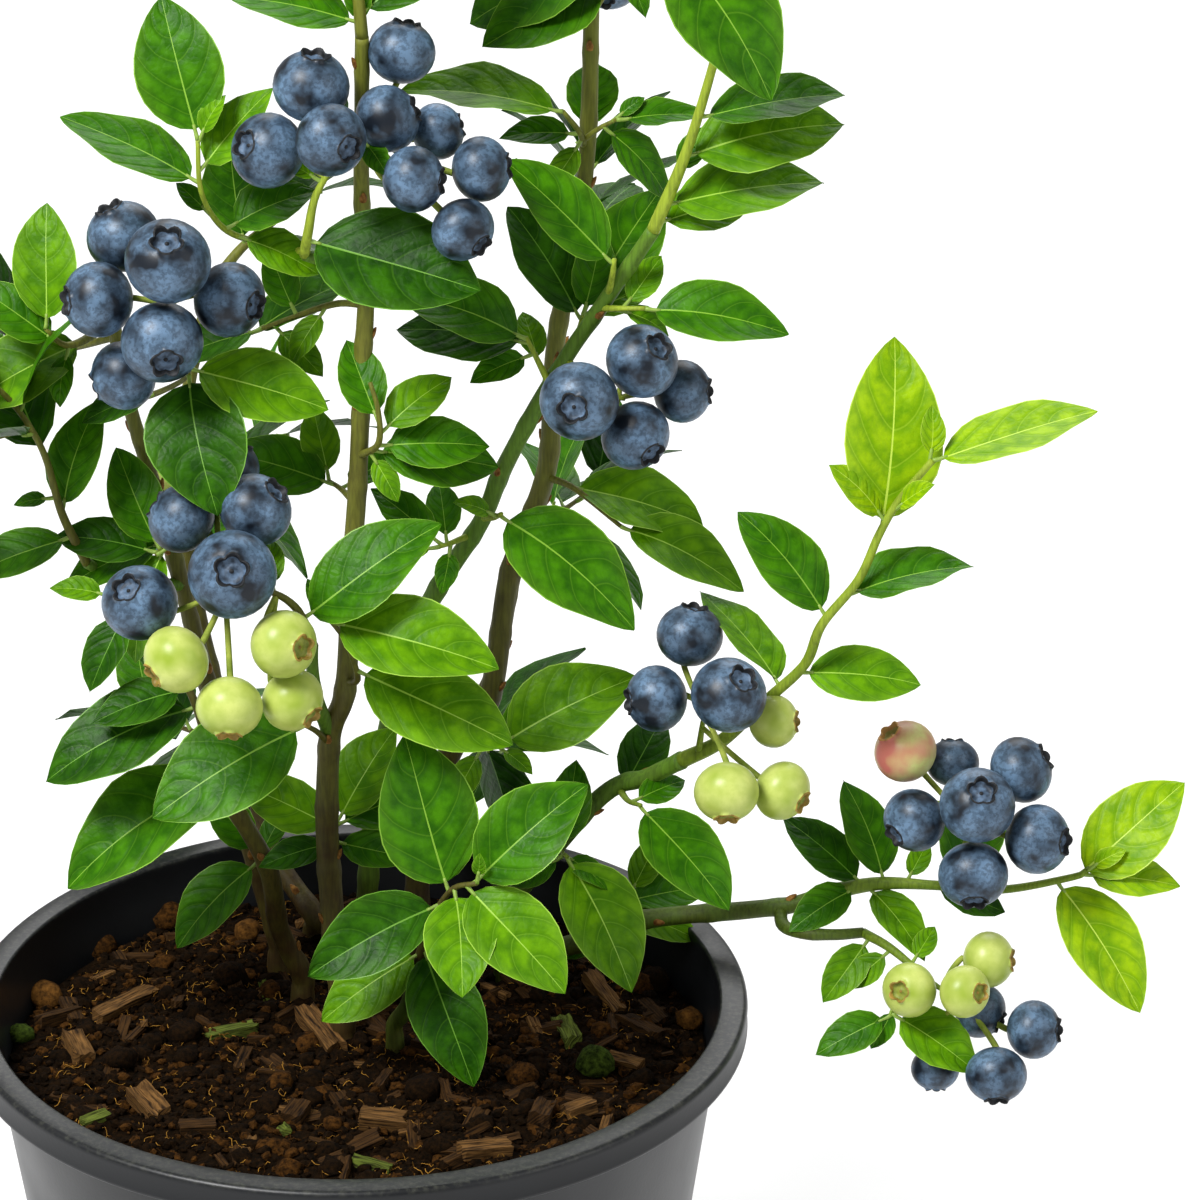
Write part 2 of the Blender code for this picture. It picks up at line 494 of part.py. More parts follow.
def clear_start(points, radius, tree, seat):
    """Drop the first stretch of a course, so that it begins clear of its carrier."""
    fine = smooth(points, FINE_STEP)
    first = 0
    for index in range(min(len(fine) - 1, FINE_COUNT)):
        heading = (fine[index + 1] - fine[index]).normalized()
        across = heading.orthogonal().normalized()
        rim = [fine[index]]
        for corner in range(LIMB_SIDES):
            spin = Matrix.Rotation(2 * math.pi * corner / LIMB_SIDES, 3, heading)
            rim.append(fine[index] + spin @ across * radius)
        for point in rim:
            near, normal, _, gap = tree.find_nearest(point)
            if (point - near).dot(normal) < 0 or gap < seat:
                first = index + 1
                break
    trimmed = (fine[first] - fine[0]).length + 1
    return [fine[first]] + [point for point in points[1:] if (point - fine[0]).length > trimmed]


def seated_course(points, girth, carrier, step, sides):
    """An even course that begins SEAT clear of its carrier, or as near as it can."""
    tree = tree_of([carrier])
    for extra in range(SEAT_TRIES):
        course = smooth(clear_start(points, girth / 2, tree, SEAT + extra * FINE_STEP), step)
        if not touches(sweep(course, tapered(course, girth, girth), sides), tree):
            break
    return course


def facing(direction, wish):
    """The normal of a blade that points along `direction` and turns to the wish."""
    across = wish - direction * wish.dot(direction)
    if across.length < 0.2:
        across = UP - direction * UP.dot(direction) + RIGHT * 0.1
        across -= direction * across.dot(direction)
    return across.normalized()


def leaf_pose(spec, course, lean):
    """Base, direction and face of a leaf on its twig."""
    length = (course[1] - course[0]).length * (len(course) - 1)
    base, along = point_at(course, min(spec["share"], 1 - LEAF_TIP / length))
    outward = base - CROWN_AXIS
    outward.z = 0
    outward = outward.normalized()
    if "bearing" in spec:
        turn = math.radians(spec["bearing"])
        tilt = math.radians(spec["lean"] + lean)
        direction = (RIGHT * math.cos(turn) + RISE * math.sin(turn)) * math.cos(tilt)
        direction = direction + NEAR * math.sin(tilt)
        wish = NEAR * 0.62 + UP * 0.62 + outward * 0.25
    else:
        across = facing(along, UP)
        spin = Matrix.Rotation(math.radians(spec["turn"] + lean), 3, along)
        spread = math.radians(spec["spread"])
        direction = along * math.cos(spread) + spin @ across * math.sin(spread)
        wish = UP * 0.85 + outward * 0.45
    direction = direction.normalized()
    return base, direction, facing(direction, wish.normalized())


def material(name, colour, roughness):
    """A plain finish."""
    finish = bpy.data.materials.new(name)
    finish.use_nodes = True
    shader = finish.node_tree.nodes["Principled BSDF"]
    shader.inputs["Base Color"].default_value = (*colour, 1)
    shader.inputs["Roughness"].default_value = roughness
    return finish


def add_object(name, bm, collection, finish=None):
    """Put a shape measured in millimetres into the scene in metres."""
    bmesh.ops.scale(bm, vec=(MM, MM, MM), verts=bm.verts)
    mesh = bpy.data.meshes.new(name)
    bm.to_mesh(mesh)
    bm.free()
    if finish:
        mesh.materials.append(finish)
    made = bpy.data.objects.new(name, mesh)
    collection.objects.link(made)
    return made


def turned(name, profile, collection, finish):
    """A lathe shape: a profile of (radius, height) turned by a Screw modifier."""
    bm = bmesh.new()
    verts = [bm.verts.new((radius, 0, height)) for radius, height in profile]
    for a, b in zip(verts, verts[1:]):
        bm.edges.new((a, b))
    made = add_object(name, bm, collection, finish)
    screw = made.modifiers.new("turn", "SCREW")
    screw.steps = POT_SEGMENTS
    screw.render_steps = POT_SEGMENTS
    screw.use_merge_vertices = True
    screw.merge_threshold = 0.00005
    return made


def outer_radius(height):
    """Radius of the pot's outer wall below its shoulder."""
    share = height / SHOULDER_HEIGHT
    return POT_FOOT_RADIUS + (SHOULDER_RADIUS - POT_FOOT_RADIUS) * share


def build_pot(collection, cutters):
    """Tapered wall, flat rim, lip turned down outside, drained floor."""
    under_lip = POT_HEIGHT - LIP_DEPTH
    profile = [
        (0, POT_FLOOR), (outer_radius(POT_FLOOR) - POT_WALL - 1.6, POT_FLOOR),
        (outer_radius(6) - POT_WALL, 6), (SHOULDER_RADIUS - POT_WALL, SHOULDER_HEIGHT),
        (MOUTH_RADIUS - 0.9, POT_HEIGHT - 2.4), (MOUTH_RADIUS, POT_HEIGHT - 0.5),
        (MOUTH_RADIUS + 3, POT_HEIGHT), (POT_RIM_RADIUS - 0.9, POT_HEIGHT - 0.4),
        (POT_RIM_RADIUS, POT_HEIGHT - 1.6), (POT_RIM_RADIUS - LIP_LEAN, under_lip),
        (POT_RIM_RADIUS - LIP_LEAN - 1.6, under_lip), (POT_RIM_RADIUS - 2.6, POT_HEIGHT - 3.0),
        (MOUTH_RADIUS + 1.0, POT_HEIGHT - 3.4), (SHOULDER_RADIUS, SHOULDER_HEIGHT),
        (outer_radius(4), 4), (POT_FOOT_RADIUS, 1.2), (POT_FOOT_RADIUS - 1.4, 0), (0, 0)]
    pot = turned("pot", profile, collection, material("black plastic", (0.016, 0.017, 0.019), 0.45))
    for index in range(DRAIN_HOLES):
        turn = 2 * math.pi * (index + 0.5) / DRAIN_HOLES
        bm = bmesh.new()
        bmesh.ops.create_cone(bm, cap_ends=True, segments=10, radius1=DRAIN_RADIUS,
                              radius2=DRAIN_RADIUS, depth=POT_FLOOR * 3)
        bmesh.ops.translate(bm, verts=bm.verts, vec=(DRAIN_CIRCLE * math.cos(turn),
                                                     DRAIN_CIRCLE * math.sin(turn), POT_FLOOR / 2))
        drain = add_object(f"drain_{index}", bm, cutters)
        drain.hide_render = True
        drain.display_type = "WIRE"
    cut = pot.modifiers.new("drains", "BOOLEAN")
    cut.operation = "DIFFERENCE"
    cut.operand_type = "COLLECTION"
    cut.collection = cutters
    return pot


def build_soil(collection):
    """The filling of the pot, level where the canes stand, lower at the wall."""
    edge = outer_radius(SOIL_EDGE) - POT_WALL - SEAT
    profile = [(0, SOIL_TOP), (SOIL_PLATEAU, SOIL_TOP), (edge - 6, SOIL_TOP - 1.0), (edge, SOIL_EDGE),
               (outer_radius(7) - POT_WALL - SEAT, 7),
               (outer_radius(POT_FLOOR) - POT_WALL - 2.6, POT_FLOOR + SEAT), (0, POT_FLOOR + SEAT)]
    return turned("soil", profile, collection, material("bark soil", (0.030, 0.014, 0.007), 0.95))


def pieces_of_spray(name, courses, twigs, blocked):
    """Solids to be joined into one spray, leaving out what would touch others."""
    pieces = []
    missing = 0
    for course, spec in zip(courses, twigs):
        pieces.append(sweep(course, tapered(course, spec["girth"], spec["girth"] * 0.6), TWIG_SIDES))
        grown = [each for each in spec["leaves"] if each["length"] >= LEAF_LEAST]
        for each in grown:
            for lean in LEAN_TRIES:
                base, direction, face = leaf_pose(each, course, lean)
                size = (each["length"], each["breadth"])
                trial = blade(base, direction, face, *size, LEAF_CLEAR)
                if not touches(trial, blocked):
                    pieces.append(blade(base, direction, face, *size))
                    break
            else:
                missing += 1
        raceme = [point_at(course, share)[0] for share in RACEME]
        for right, rise, near, size in settled(spec["fruit"]):
            for shift in BERRY_TRIES:
                centre = course[-1] + RIGHT * right + RISE * rise + NEAR * (near + shift)
                if not touches(ball(centre, size, LEAF_CLEAR), blocked):
                    break
            else:
                missing += 1
                continue
            hub = min(raceme, key=lambda joint: (joint - centre).length)
            stalk = sweep([hub, centre], [STALK_RADIUS] * 2, TWIG_SIDES)
            pieces += [ball(centre, size), stalk]
    if missing:
        print(name, "left out", missing)
    return pieces


def one_body(mesh):
    """Keep the outer skin of the largest body: no scraps, no sealed hollows."""
    bm = bmesh.new()
    bm.from_mesh(mesh)
    bmesh.ops.remove_doubles(bm, verts=bm.verts, dist=2e-7)
    bmesh.ops.dissolve_degenerate(bm, edges=bm.edges, dist=1e-7)
    waiting = set(bm.faces)
    bodies = []
    while waiting:
        body = [waiting.pop()]
        for face in body:
            for edge in face.edges:
                for other in edge.link_faces:
                    if other in waiting:
                        waiting.discard(other)
                        body.append(other)
        bodies.append(body)
    bodies.sort(key=len)
    for body in bodies[:-1]:
        bmesh.ops.delete(bm, geom=body, context="FACES")
    bm.to_mesh(mesh)
    open_edges = sum(not item.is_manifold for item in list(bm.edges) + list(bm.verts))
    bm.free()
    return open_edges


def join_spray(name, pieces, collection, finish):
    """Join a spray's pieces by one Boolean union on a collection."""
    group = bpy.data.collections.new(name + "_pieces")
    bpy.context.scene.collection.children.link(group)
    stem = add_object(name, pieces[0], collection, finish)
    for index, piece in enumerate(pieces[1:]):
        add_object(f"{name}_{index}", piece, group)
    union = stem.modifiers.new("join", "BOOLEAN")
    union.operation = "UNION"
    union.operand_type = "COLLECTION"
    union.collection = group
    for solver in ("EXACT", "MANIFOLD"):
        union.solver = solver
        bpy.context.view_layer.update()
        joined = bpy.data.meshes.new_from_object(
            stem.evaluated_get(bpy.context.evaluated_depsgraph_get()))
        open_edges = one_body(joined)
        if open_edges == 0:
            break
    if open_edges:
        print(name, "has", open_edges, "open edges or pinched corners")
    stem.modifiers.clear()
    stem.data = joined
    for piece in list(group.objects):
        bpy.data.objects.remove(piece)
    bpy.data.collections.remove(group)
    return stem


def world_shape(made):
    """Points and faces of a finished object, in millimetres."""
    mesh = made.data
    return [v.co / MM for v in mesh.vertices], [list(p.vertices) for p in mesh.polygons]


def build_limbs(collection):
    """Every cane from its foot and every bough from its cane, as shapes."""
    bark = material("cane bark", (0.115, 0.085, 0.030), 0.7)
    limbs = {}
    for name, (foot, course, start, end) in CANES.items():
        ground = Vector((foot[0], foot[1], SOIL_TOP + SEAT))
        course = smooth([ground, ground + UP * 7] + [seen(*p) for p in course], LIMB_STEP)
        course.insert(1, ground + UP * 3)
        limbs[name] = to_object(name, course, tapered(course, start, end, True), collection, bark)
    for name, (carrier, course, start, end) in BOUGHS.items():
        course = seated_course([seen(*p) for p in course], start, limbs[carrier], BOUGH_STEP, LIMB_SIDES)
        limbs[name] = to_object(name, course, tapered(course, start, end), collection, bark)
    return limbs


def to_object(name, course, radii, collection, finish):
    """Sweep a limb, put it in the scene and keep its shape for the tests."""
    limb = sweep(course, radii, LIMB_SIDES)
    shape = to_polygons(limb)
    add_object(name, limb, collection, finish)
    return shape


def build_sprays(collection, limbs, others):
    """Every spray in turn, each clear of the limbs and of those before it."""
    green = material("leaf", (0.060, 0.210, 0.012), 0.45)
    courses = {}
    stems = {}
    for name, (carrier, twigs) in SPRAYS.items():
        courses[name] = []
        for index, spec in enumerate(twigs):
            course = [seen(*point) for point in spec["course"]]
            if index == 0:
                course = seated_course(course, spec["girth"], limbs[carrier], TWIG_STEP, TWIG_SIDES)
            else:
                course = smooth(course, TWIG_STEP)
            courses[name].append(course)
        stems[name] = [to_polygons(sweep(course, tapered(course, spec["girth"], spec["girth"] * 0.6),
                                         TWIG_SIDES))
                       for course, spec in zip(courses[name], twigs)]
    built = {}
    for name, (carrier, twigs) in SPRAYS.items():
        reserved = [shape for other, group in stems.items() if other != name for shape in group]
        blocked = tree_of(list(limbs.values()) + others + reserved + list(built.values()))
        pieces = pieces_of_spray(name, courses[name], twigs, blocked)
        built[name] = world_shape(join_spray(name, pieces, collection, green))


def main():
    for made in list(bpy.data.objects):
        bpy.data.objects.remove(made)
    collection = bpy.data.collections.new("blueberry bush in a pot")
    cutters = bpy.data.collections.new("cutters")
    bpy.context.scene.collection.children.link(collection)
    bpy.context.scene.collection.children.link(cutters)
    pot = build_pot(collection, cutters)
    soil = build_soil(collection)
    limbs = build_limbs(collection)
    bpy.context.view_layer.update()
    graph = bpy.context.evaluated_depsgraph_get()
    others = []
    for made in (pot, soil):
        mesh = bpy.data.meshes.new_from_object(made.evaluated_get(graph))
        others.append(([v.co / MM for v in mesh.vertices], [list(p.vertices) for p in mesh.polygons]))
        bpy.data.meshes.remove(mesh)
    build_sprays(collection, limbs, others)


main()
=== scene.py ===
# %% [markdown]
# # Blueberry bush in a nursery pot
#
# The real thing is a young highbush blueberry in a black three-litre nursery pot.
# Ten canes rise from bark soil. They carry side twigs with oval leaves and
# bunches of berries, some ripe and blue, some still green.
#
# The solids of the frame fix where everything is. This script grows the same
# plant again from the same rules, now with real leaves, berries and bark.

import json
import math
import random
from functools import cache
from itertools import combinations

import bmesh
import bpy
import numpy as np
from mathutils import Matrix, Vector, noise

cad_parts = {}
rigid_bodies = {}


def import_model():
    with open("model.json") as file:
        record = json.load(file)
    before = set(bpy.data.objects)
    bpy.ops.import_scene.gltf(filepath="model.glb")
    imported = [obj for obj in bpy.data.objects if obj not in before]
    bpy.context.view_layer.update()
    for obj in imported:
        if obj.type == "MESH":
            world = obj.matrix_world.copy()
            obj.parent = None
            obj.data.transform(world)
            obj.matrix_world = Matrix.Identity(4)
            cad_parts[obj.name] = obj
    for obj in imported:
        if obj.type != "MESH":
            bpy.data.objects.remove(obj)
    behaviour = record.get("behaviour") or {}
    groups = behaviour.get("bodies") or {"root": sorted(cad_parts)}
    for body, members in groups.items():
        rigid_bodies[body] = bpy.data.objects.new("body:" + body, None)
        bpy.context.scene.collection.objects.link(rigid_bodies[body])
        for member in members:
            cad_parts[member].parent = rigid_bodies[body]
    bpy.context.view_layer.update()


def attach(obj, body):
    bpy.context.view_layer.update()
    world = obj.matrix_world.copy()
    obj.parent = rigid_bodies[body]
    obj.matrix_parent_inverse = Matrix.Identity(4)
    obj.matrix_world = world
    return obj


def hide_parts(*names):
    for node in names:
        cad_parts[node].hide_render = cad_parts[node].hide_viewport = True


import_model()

# %% [markdown]
# ## Where things are
#
# The bush is measured from the front, by an eye that looks down on it a little.
# A point is given as that eye sees it: millimetres to the right and up from the
# centre of the pot's rim, and how much nearer than the pot's axis it lies.
# All shapes are worked out in millimetres and brought to metres at the end.

# %% The eye and its directions
MM = 0.001
POT_HEIGHT = 150.0
EYE_TILT = math.radians(23.6)
EYE_DISTANCE = 1200.0
EYE_RIGHT = 59.0
EYE_RISE = 96.0
RIGHT = Vector((1, 0, 0))
RISE = Vector((0, math.sin(EYE_TILT), math.cos(EYE_TILT)))
NEAR = Vector((0, -math.cos(EYE_TILT), math.sin(EYE_TILT)))
UP = Vector((0, 0, 1))
RIM_CENTRE = Vector((0, 0, POT_HEIGHT))
EYE = RIM_CENTRE + NEAR * EYE_DISTANCE + RIGHT * EYE_RIGHT + RISE * EYE_RISE


def seen(right, rise, near):
    """The point that a front view puts at (right, rise), `near` before the axis."""
    through = RIM_CENTRE + RIGHT * right + RISE * rise - EYE
    return EYE + through * ((-near - EYE.y) / through.y)


print("eye at", [round(v) for v in EYE], "mm")

# %% [markdown]
# ## The plan of the plant
#
# A cane is a foot on the soil, a course and two thicknesses. A bough starts on a
# cane. A spray is one or more twigs with leaves and berries. The measures are
# those of the solids, with the small leaves and the way that each berry faces
# added. A few leaves turn another way here, and one hidden bunch is left out.

# %% Canes and boughs
CANES = {
    "cane_a": ((-15, 23), [(-19, 16, -20), (-22, 31, -14), (-31, 47, -8)], 5.8, 4.0),
    "cane_b": ((-4, 4), [(-7, 30, -8), (-7, 61, -5), (-3, 74, -3), (-2, 96, -5), (0, 125, -8),
                         (1, 150, -10), (2, 173, -12), (1, 194, -12), (1, 213, -8),
                         (1, 233, -6)], 6.2, 3.2),
    "cane_c": ((13, 36), [(15, 31, -42), (23, 60, -44), (32, 72, -44), (37, 102, -45),
                          (46, 128, -44), (48, 157, -42), (53, 183, -40), (56, 207, -40),
                          (57, 242, -40), (58, 275, -38), (60, 306, -36)], 6.4, 3.0),
    "cane_d": ((0, 38), [(4, 45, -37), (11, 80, -34), (19, 98, -30), (30, 115, -26), (35, 127, -24),
                         (43, 142, -20), (52, 157, -16), (59, 167, -14), (72, 186, -8)], 5.6, 3.4),
    "cane_e": ((23, 25), [(57, 46, -30), (71, 53, -25), (79, 57, -20)], 5.4, 4.2),
    "cane_f": ((35, 34), [(52, 12, -31), (69, 18, -29), (95, 20.5, -27), (107, 22, -26),
                          (115, 25, -24)], 5.6, 4.2),
    "cane_g": ((9, -2), [(12, -3, 4), (15, 8, 8)], 4.6, 3.2),
    "cane_h": ((-22, 42), [(-28, 43, -44), (-38, 81, -46), (-47, 115, -44), (-56, 145, -40),
                           (-60, 167, -36)], 5.6, 3.2),
    "cane_i": ((13, 54), [(16, 38, -68), (25, 64, -84), (33, 78, -88), (38, 102, -92),
                          (46, 128, -92),
                          (50, 170, -92)], 5.6, 3.0),
    "cane_j": ((-14, 56), [(-25, 42, -72), (-36, 80, -90), (-42, 112, -96), (-42, 142, -96),
                           (-36, 172, -94)], 5.6, 3.0),
}
BOUGHS = {
    "bough_b_left": ("cane_b", [(-7, 64, -4), (-10, 72, 2), (-11, 79, 7), (-11, 85, 10)], 3.6, 2.8),
    "bough_b_high": ("cane_b", [(2, 176, -11), (-5, 178, -5), (-13, 180, 1)], 3.2, 2.6),
    "bough_f_low": ("cane_f", [(103, 21.5, -27), (103.5, 17, -21), (108, 15, -15), (116, 14.5, -13),
                               (123, 15, -15)], 3.4, 2.6),
    "bough_h_left": ("cane_h", [(-43, 100, -45), (-52, 99, -38), (-59, 101, -32), (-66, 105, -28)],
                     3.4, 2.6),
}

# %% Words for the sprays
# Lengths are in millimetres and turns in degrees.
LEAF_BREADTH = 0.50
GOLDEN_ANGLE = 137.5
FOOT_SPREAD = 66
TIP_SPREAD = 40
TIP_SHRINK = 0.30


def leaf(share, bearing, length, lean=0, breadth=LEAF_BREADTH):
    """A leaf on a twig: where along it, which way it points as seen, how long."""
    return {"share": share, "bearing": bearing, "length": length, "lean": lean,
            "breadth": breadth}


def spiral(count, first=0, size=34, start=0.25):
    """Leaves that climb a twig by the golden angle, smaller towards the tip."""
    leaves = []
    for index in range(count):
        along = index / max(1, count - 1)
        leaves.append({"share": start + (1 - start) * along, "turn": first + index * GOLDEN_ANGLE,
                       "length": size * (1 - TIP_SHRINK * along),
                       "spread": FOOT_SPREAD + (TIP_SPREAD - FOOT_SPREAD) * along,
                       "breadth": LEAF_BREADTH})
    return leaves


def berry(right, rise, near, size, bearing=None, lean=0, stage="ripe"):
    """A berry: its place from the twig's tip, its diameter and where its eye looks."""
    return {"at": [right, rise, near], "size": size, "bearing": bearing, "lean": lean,
            "stage": stage}


def bunch(count, size=16, seed=0):
    """Berries packed on a golden spiral round the end of their stalk."""
    draw = random.Random(seed)
    berries = []
    for index in range(count):
        level = 0.9 - 1.5 * index / max(1, count - 1)
        ring = math.sqrt(max(0.0, 1 - level * level))
        turn = math.radians(index * GOLDEN_ANGLE + seed * 40)
        reach = size * draw.uniform(0.80, 0.95)
        berries.append(berry(reach * ring * math.cos(turn), -reach * level * 0.9,
                             reach * ring * math.sin(turn), size * draw.uniform(0.88, 1.08),
                             stage="green" if index >= count - 1 else "ripe"))
    return berries


def twig(course, leaves=(), fruit=(), girth=1.9):
    """One twig of a spray: its course, its leaves and the berries at its tip."""
    return {"course": course, "leaves": list(leaves), "fruit": list(fruit), "girth": girth}


# %% Bunches of berries
BUNCH_LEFT = [
    berry(-10, 15, 0, 17.5, 115, 22), berry(2, 8, 11, 20, 85, 60), berry(-15, 0, 2, 17.5, 185, 25),
    berry(15, 0, 3, 17.5, -15, 33), berry(0, -10, 5, 19, -73, 50), berry(-10, -17, -6, 16, 200, 0)]
BUNCH_TOP = [
    berry(-14, 9, 4, 17.5, 80, 28), berry(-24, -5, 0, 17.5, 170, 48),
    berry(-9, -4, 11, 16.5, -28, 45),
    berry(3, 2, 0, 15.5, 20, 10), berry(6, 17.5, -4, 15.5, 80, 14), berry(14, 0, -8, 13, 15, 5),
    berry(24, -9, -2, 15, 5, 8), berry(9, -12, 5, 15, -5, 12), berry(20, -23, 0, 15, -42, 25)]
BUNCH_RIGHT = [
    berry(-10.5, -1, 8, 18.5, -127, 72), berry(4, 8.5, 5, 17.5, 39, 50),
    berry(13.5, 2, -4, 15, 0, 12), berry(2.5, -8.5, 0, 16.5, -50, 35)]
BUNCH_MIDDLE = [
    berry(5, 3.5, 9, 20.5, 60, 84), berry(-17, -3, 4, 18, 127, 58),
    berry(9.5, 18.5, -1, 17.5, 40, 28),
    berry(-8, 16.5, -6, 16.5, 150, 5), berry(3, 29, -9, 14, 60, 5),
    berry(-8, -16, 6, 16, 215, 20, "green"), berry(16.5, -12.5, 6, 16, -10, 45, "green"),
    berry(4, -27, 6, 16, -90, 15, "green"), berry(18, -25.5, -2, 15, -40, 20, "green")]
BUNCH_E = [
    berry(-4, 17, -3, 16.5, 80, 15), berry(-12, 2, 2, 16, 185, 15), berry(5, 3, 9, 18.5, 50, 50),
    berry(16, -3.5, -3, 13, 0, 15, "green"), berry(4.5, -20, 5, 16, -90, 20, "green"),
    berry(18, -20, 2, 14.5, -30, 25, "green")]
BUNCH_F = [
    berry(-16, 16.5, 0, 15.5, 130, 25, "blush"), berry(12, 12, 0, 16.5, 30, 15),
    berry(0.5, 4, 9, 18.5, 80, 62), berry(-14, 0, 4, 16, 215, 25), berry(15.5, -4.5, 4, 17, -5, 30),
    berry(0, -13, 5, 17, -90, 30), berry(-4, 13.5, -8, 13, 90, 0)]
BUNCH_LOW = [
    berry(-14, 3, 6, 13.5, 180, 60, "green"), berry(-1, 3, 9, 13, 0, 50, "green"),
    berry(5.5, 10, 0, 14, 0, 15, "green"), berry(4, -3, -1, 13.5, -30, 20),
    berry(16.5, -7, 3, 14.5, 0, 20), berry(7, -17.5, 3, 15, -90, 20),
    berry(-7, -17, -5, 12, -90, 0)]

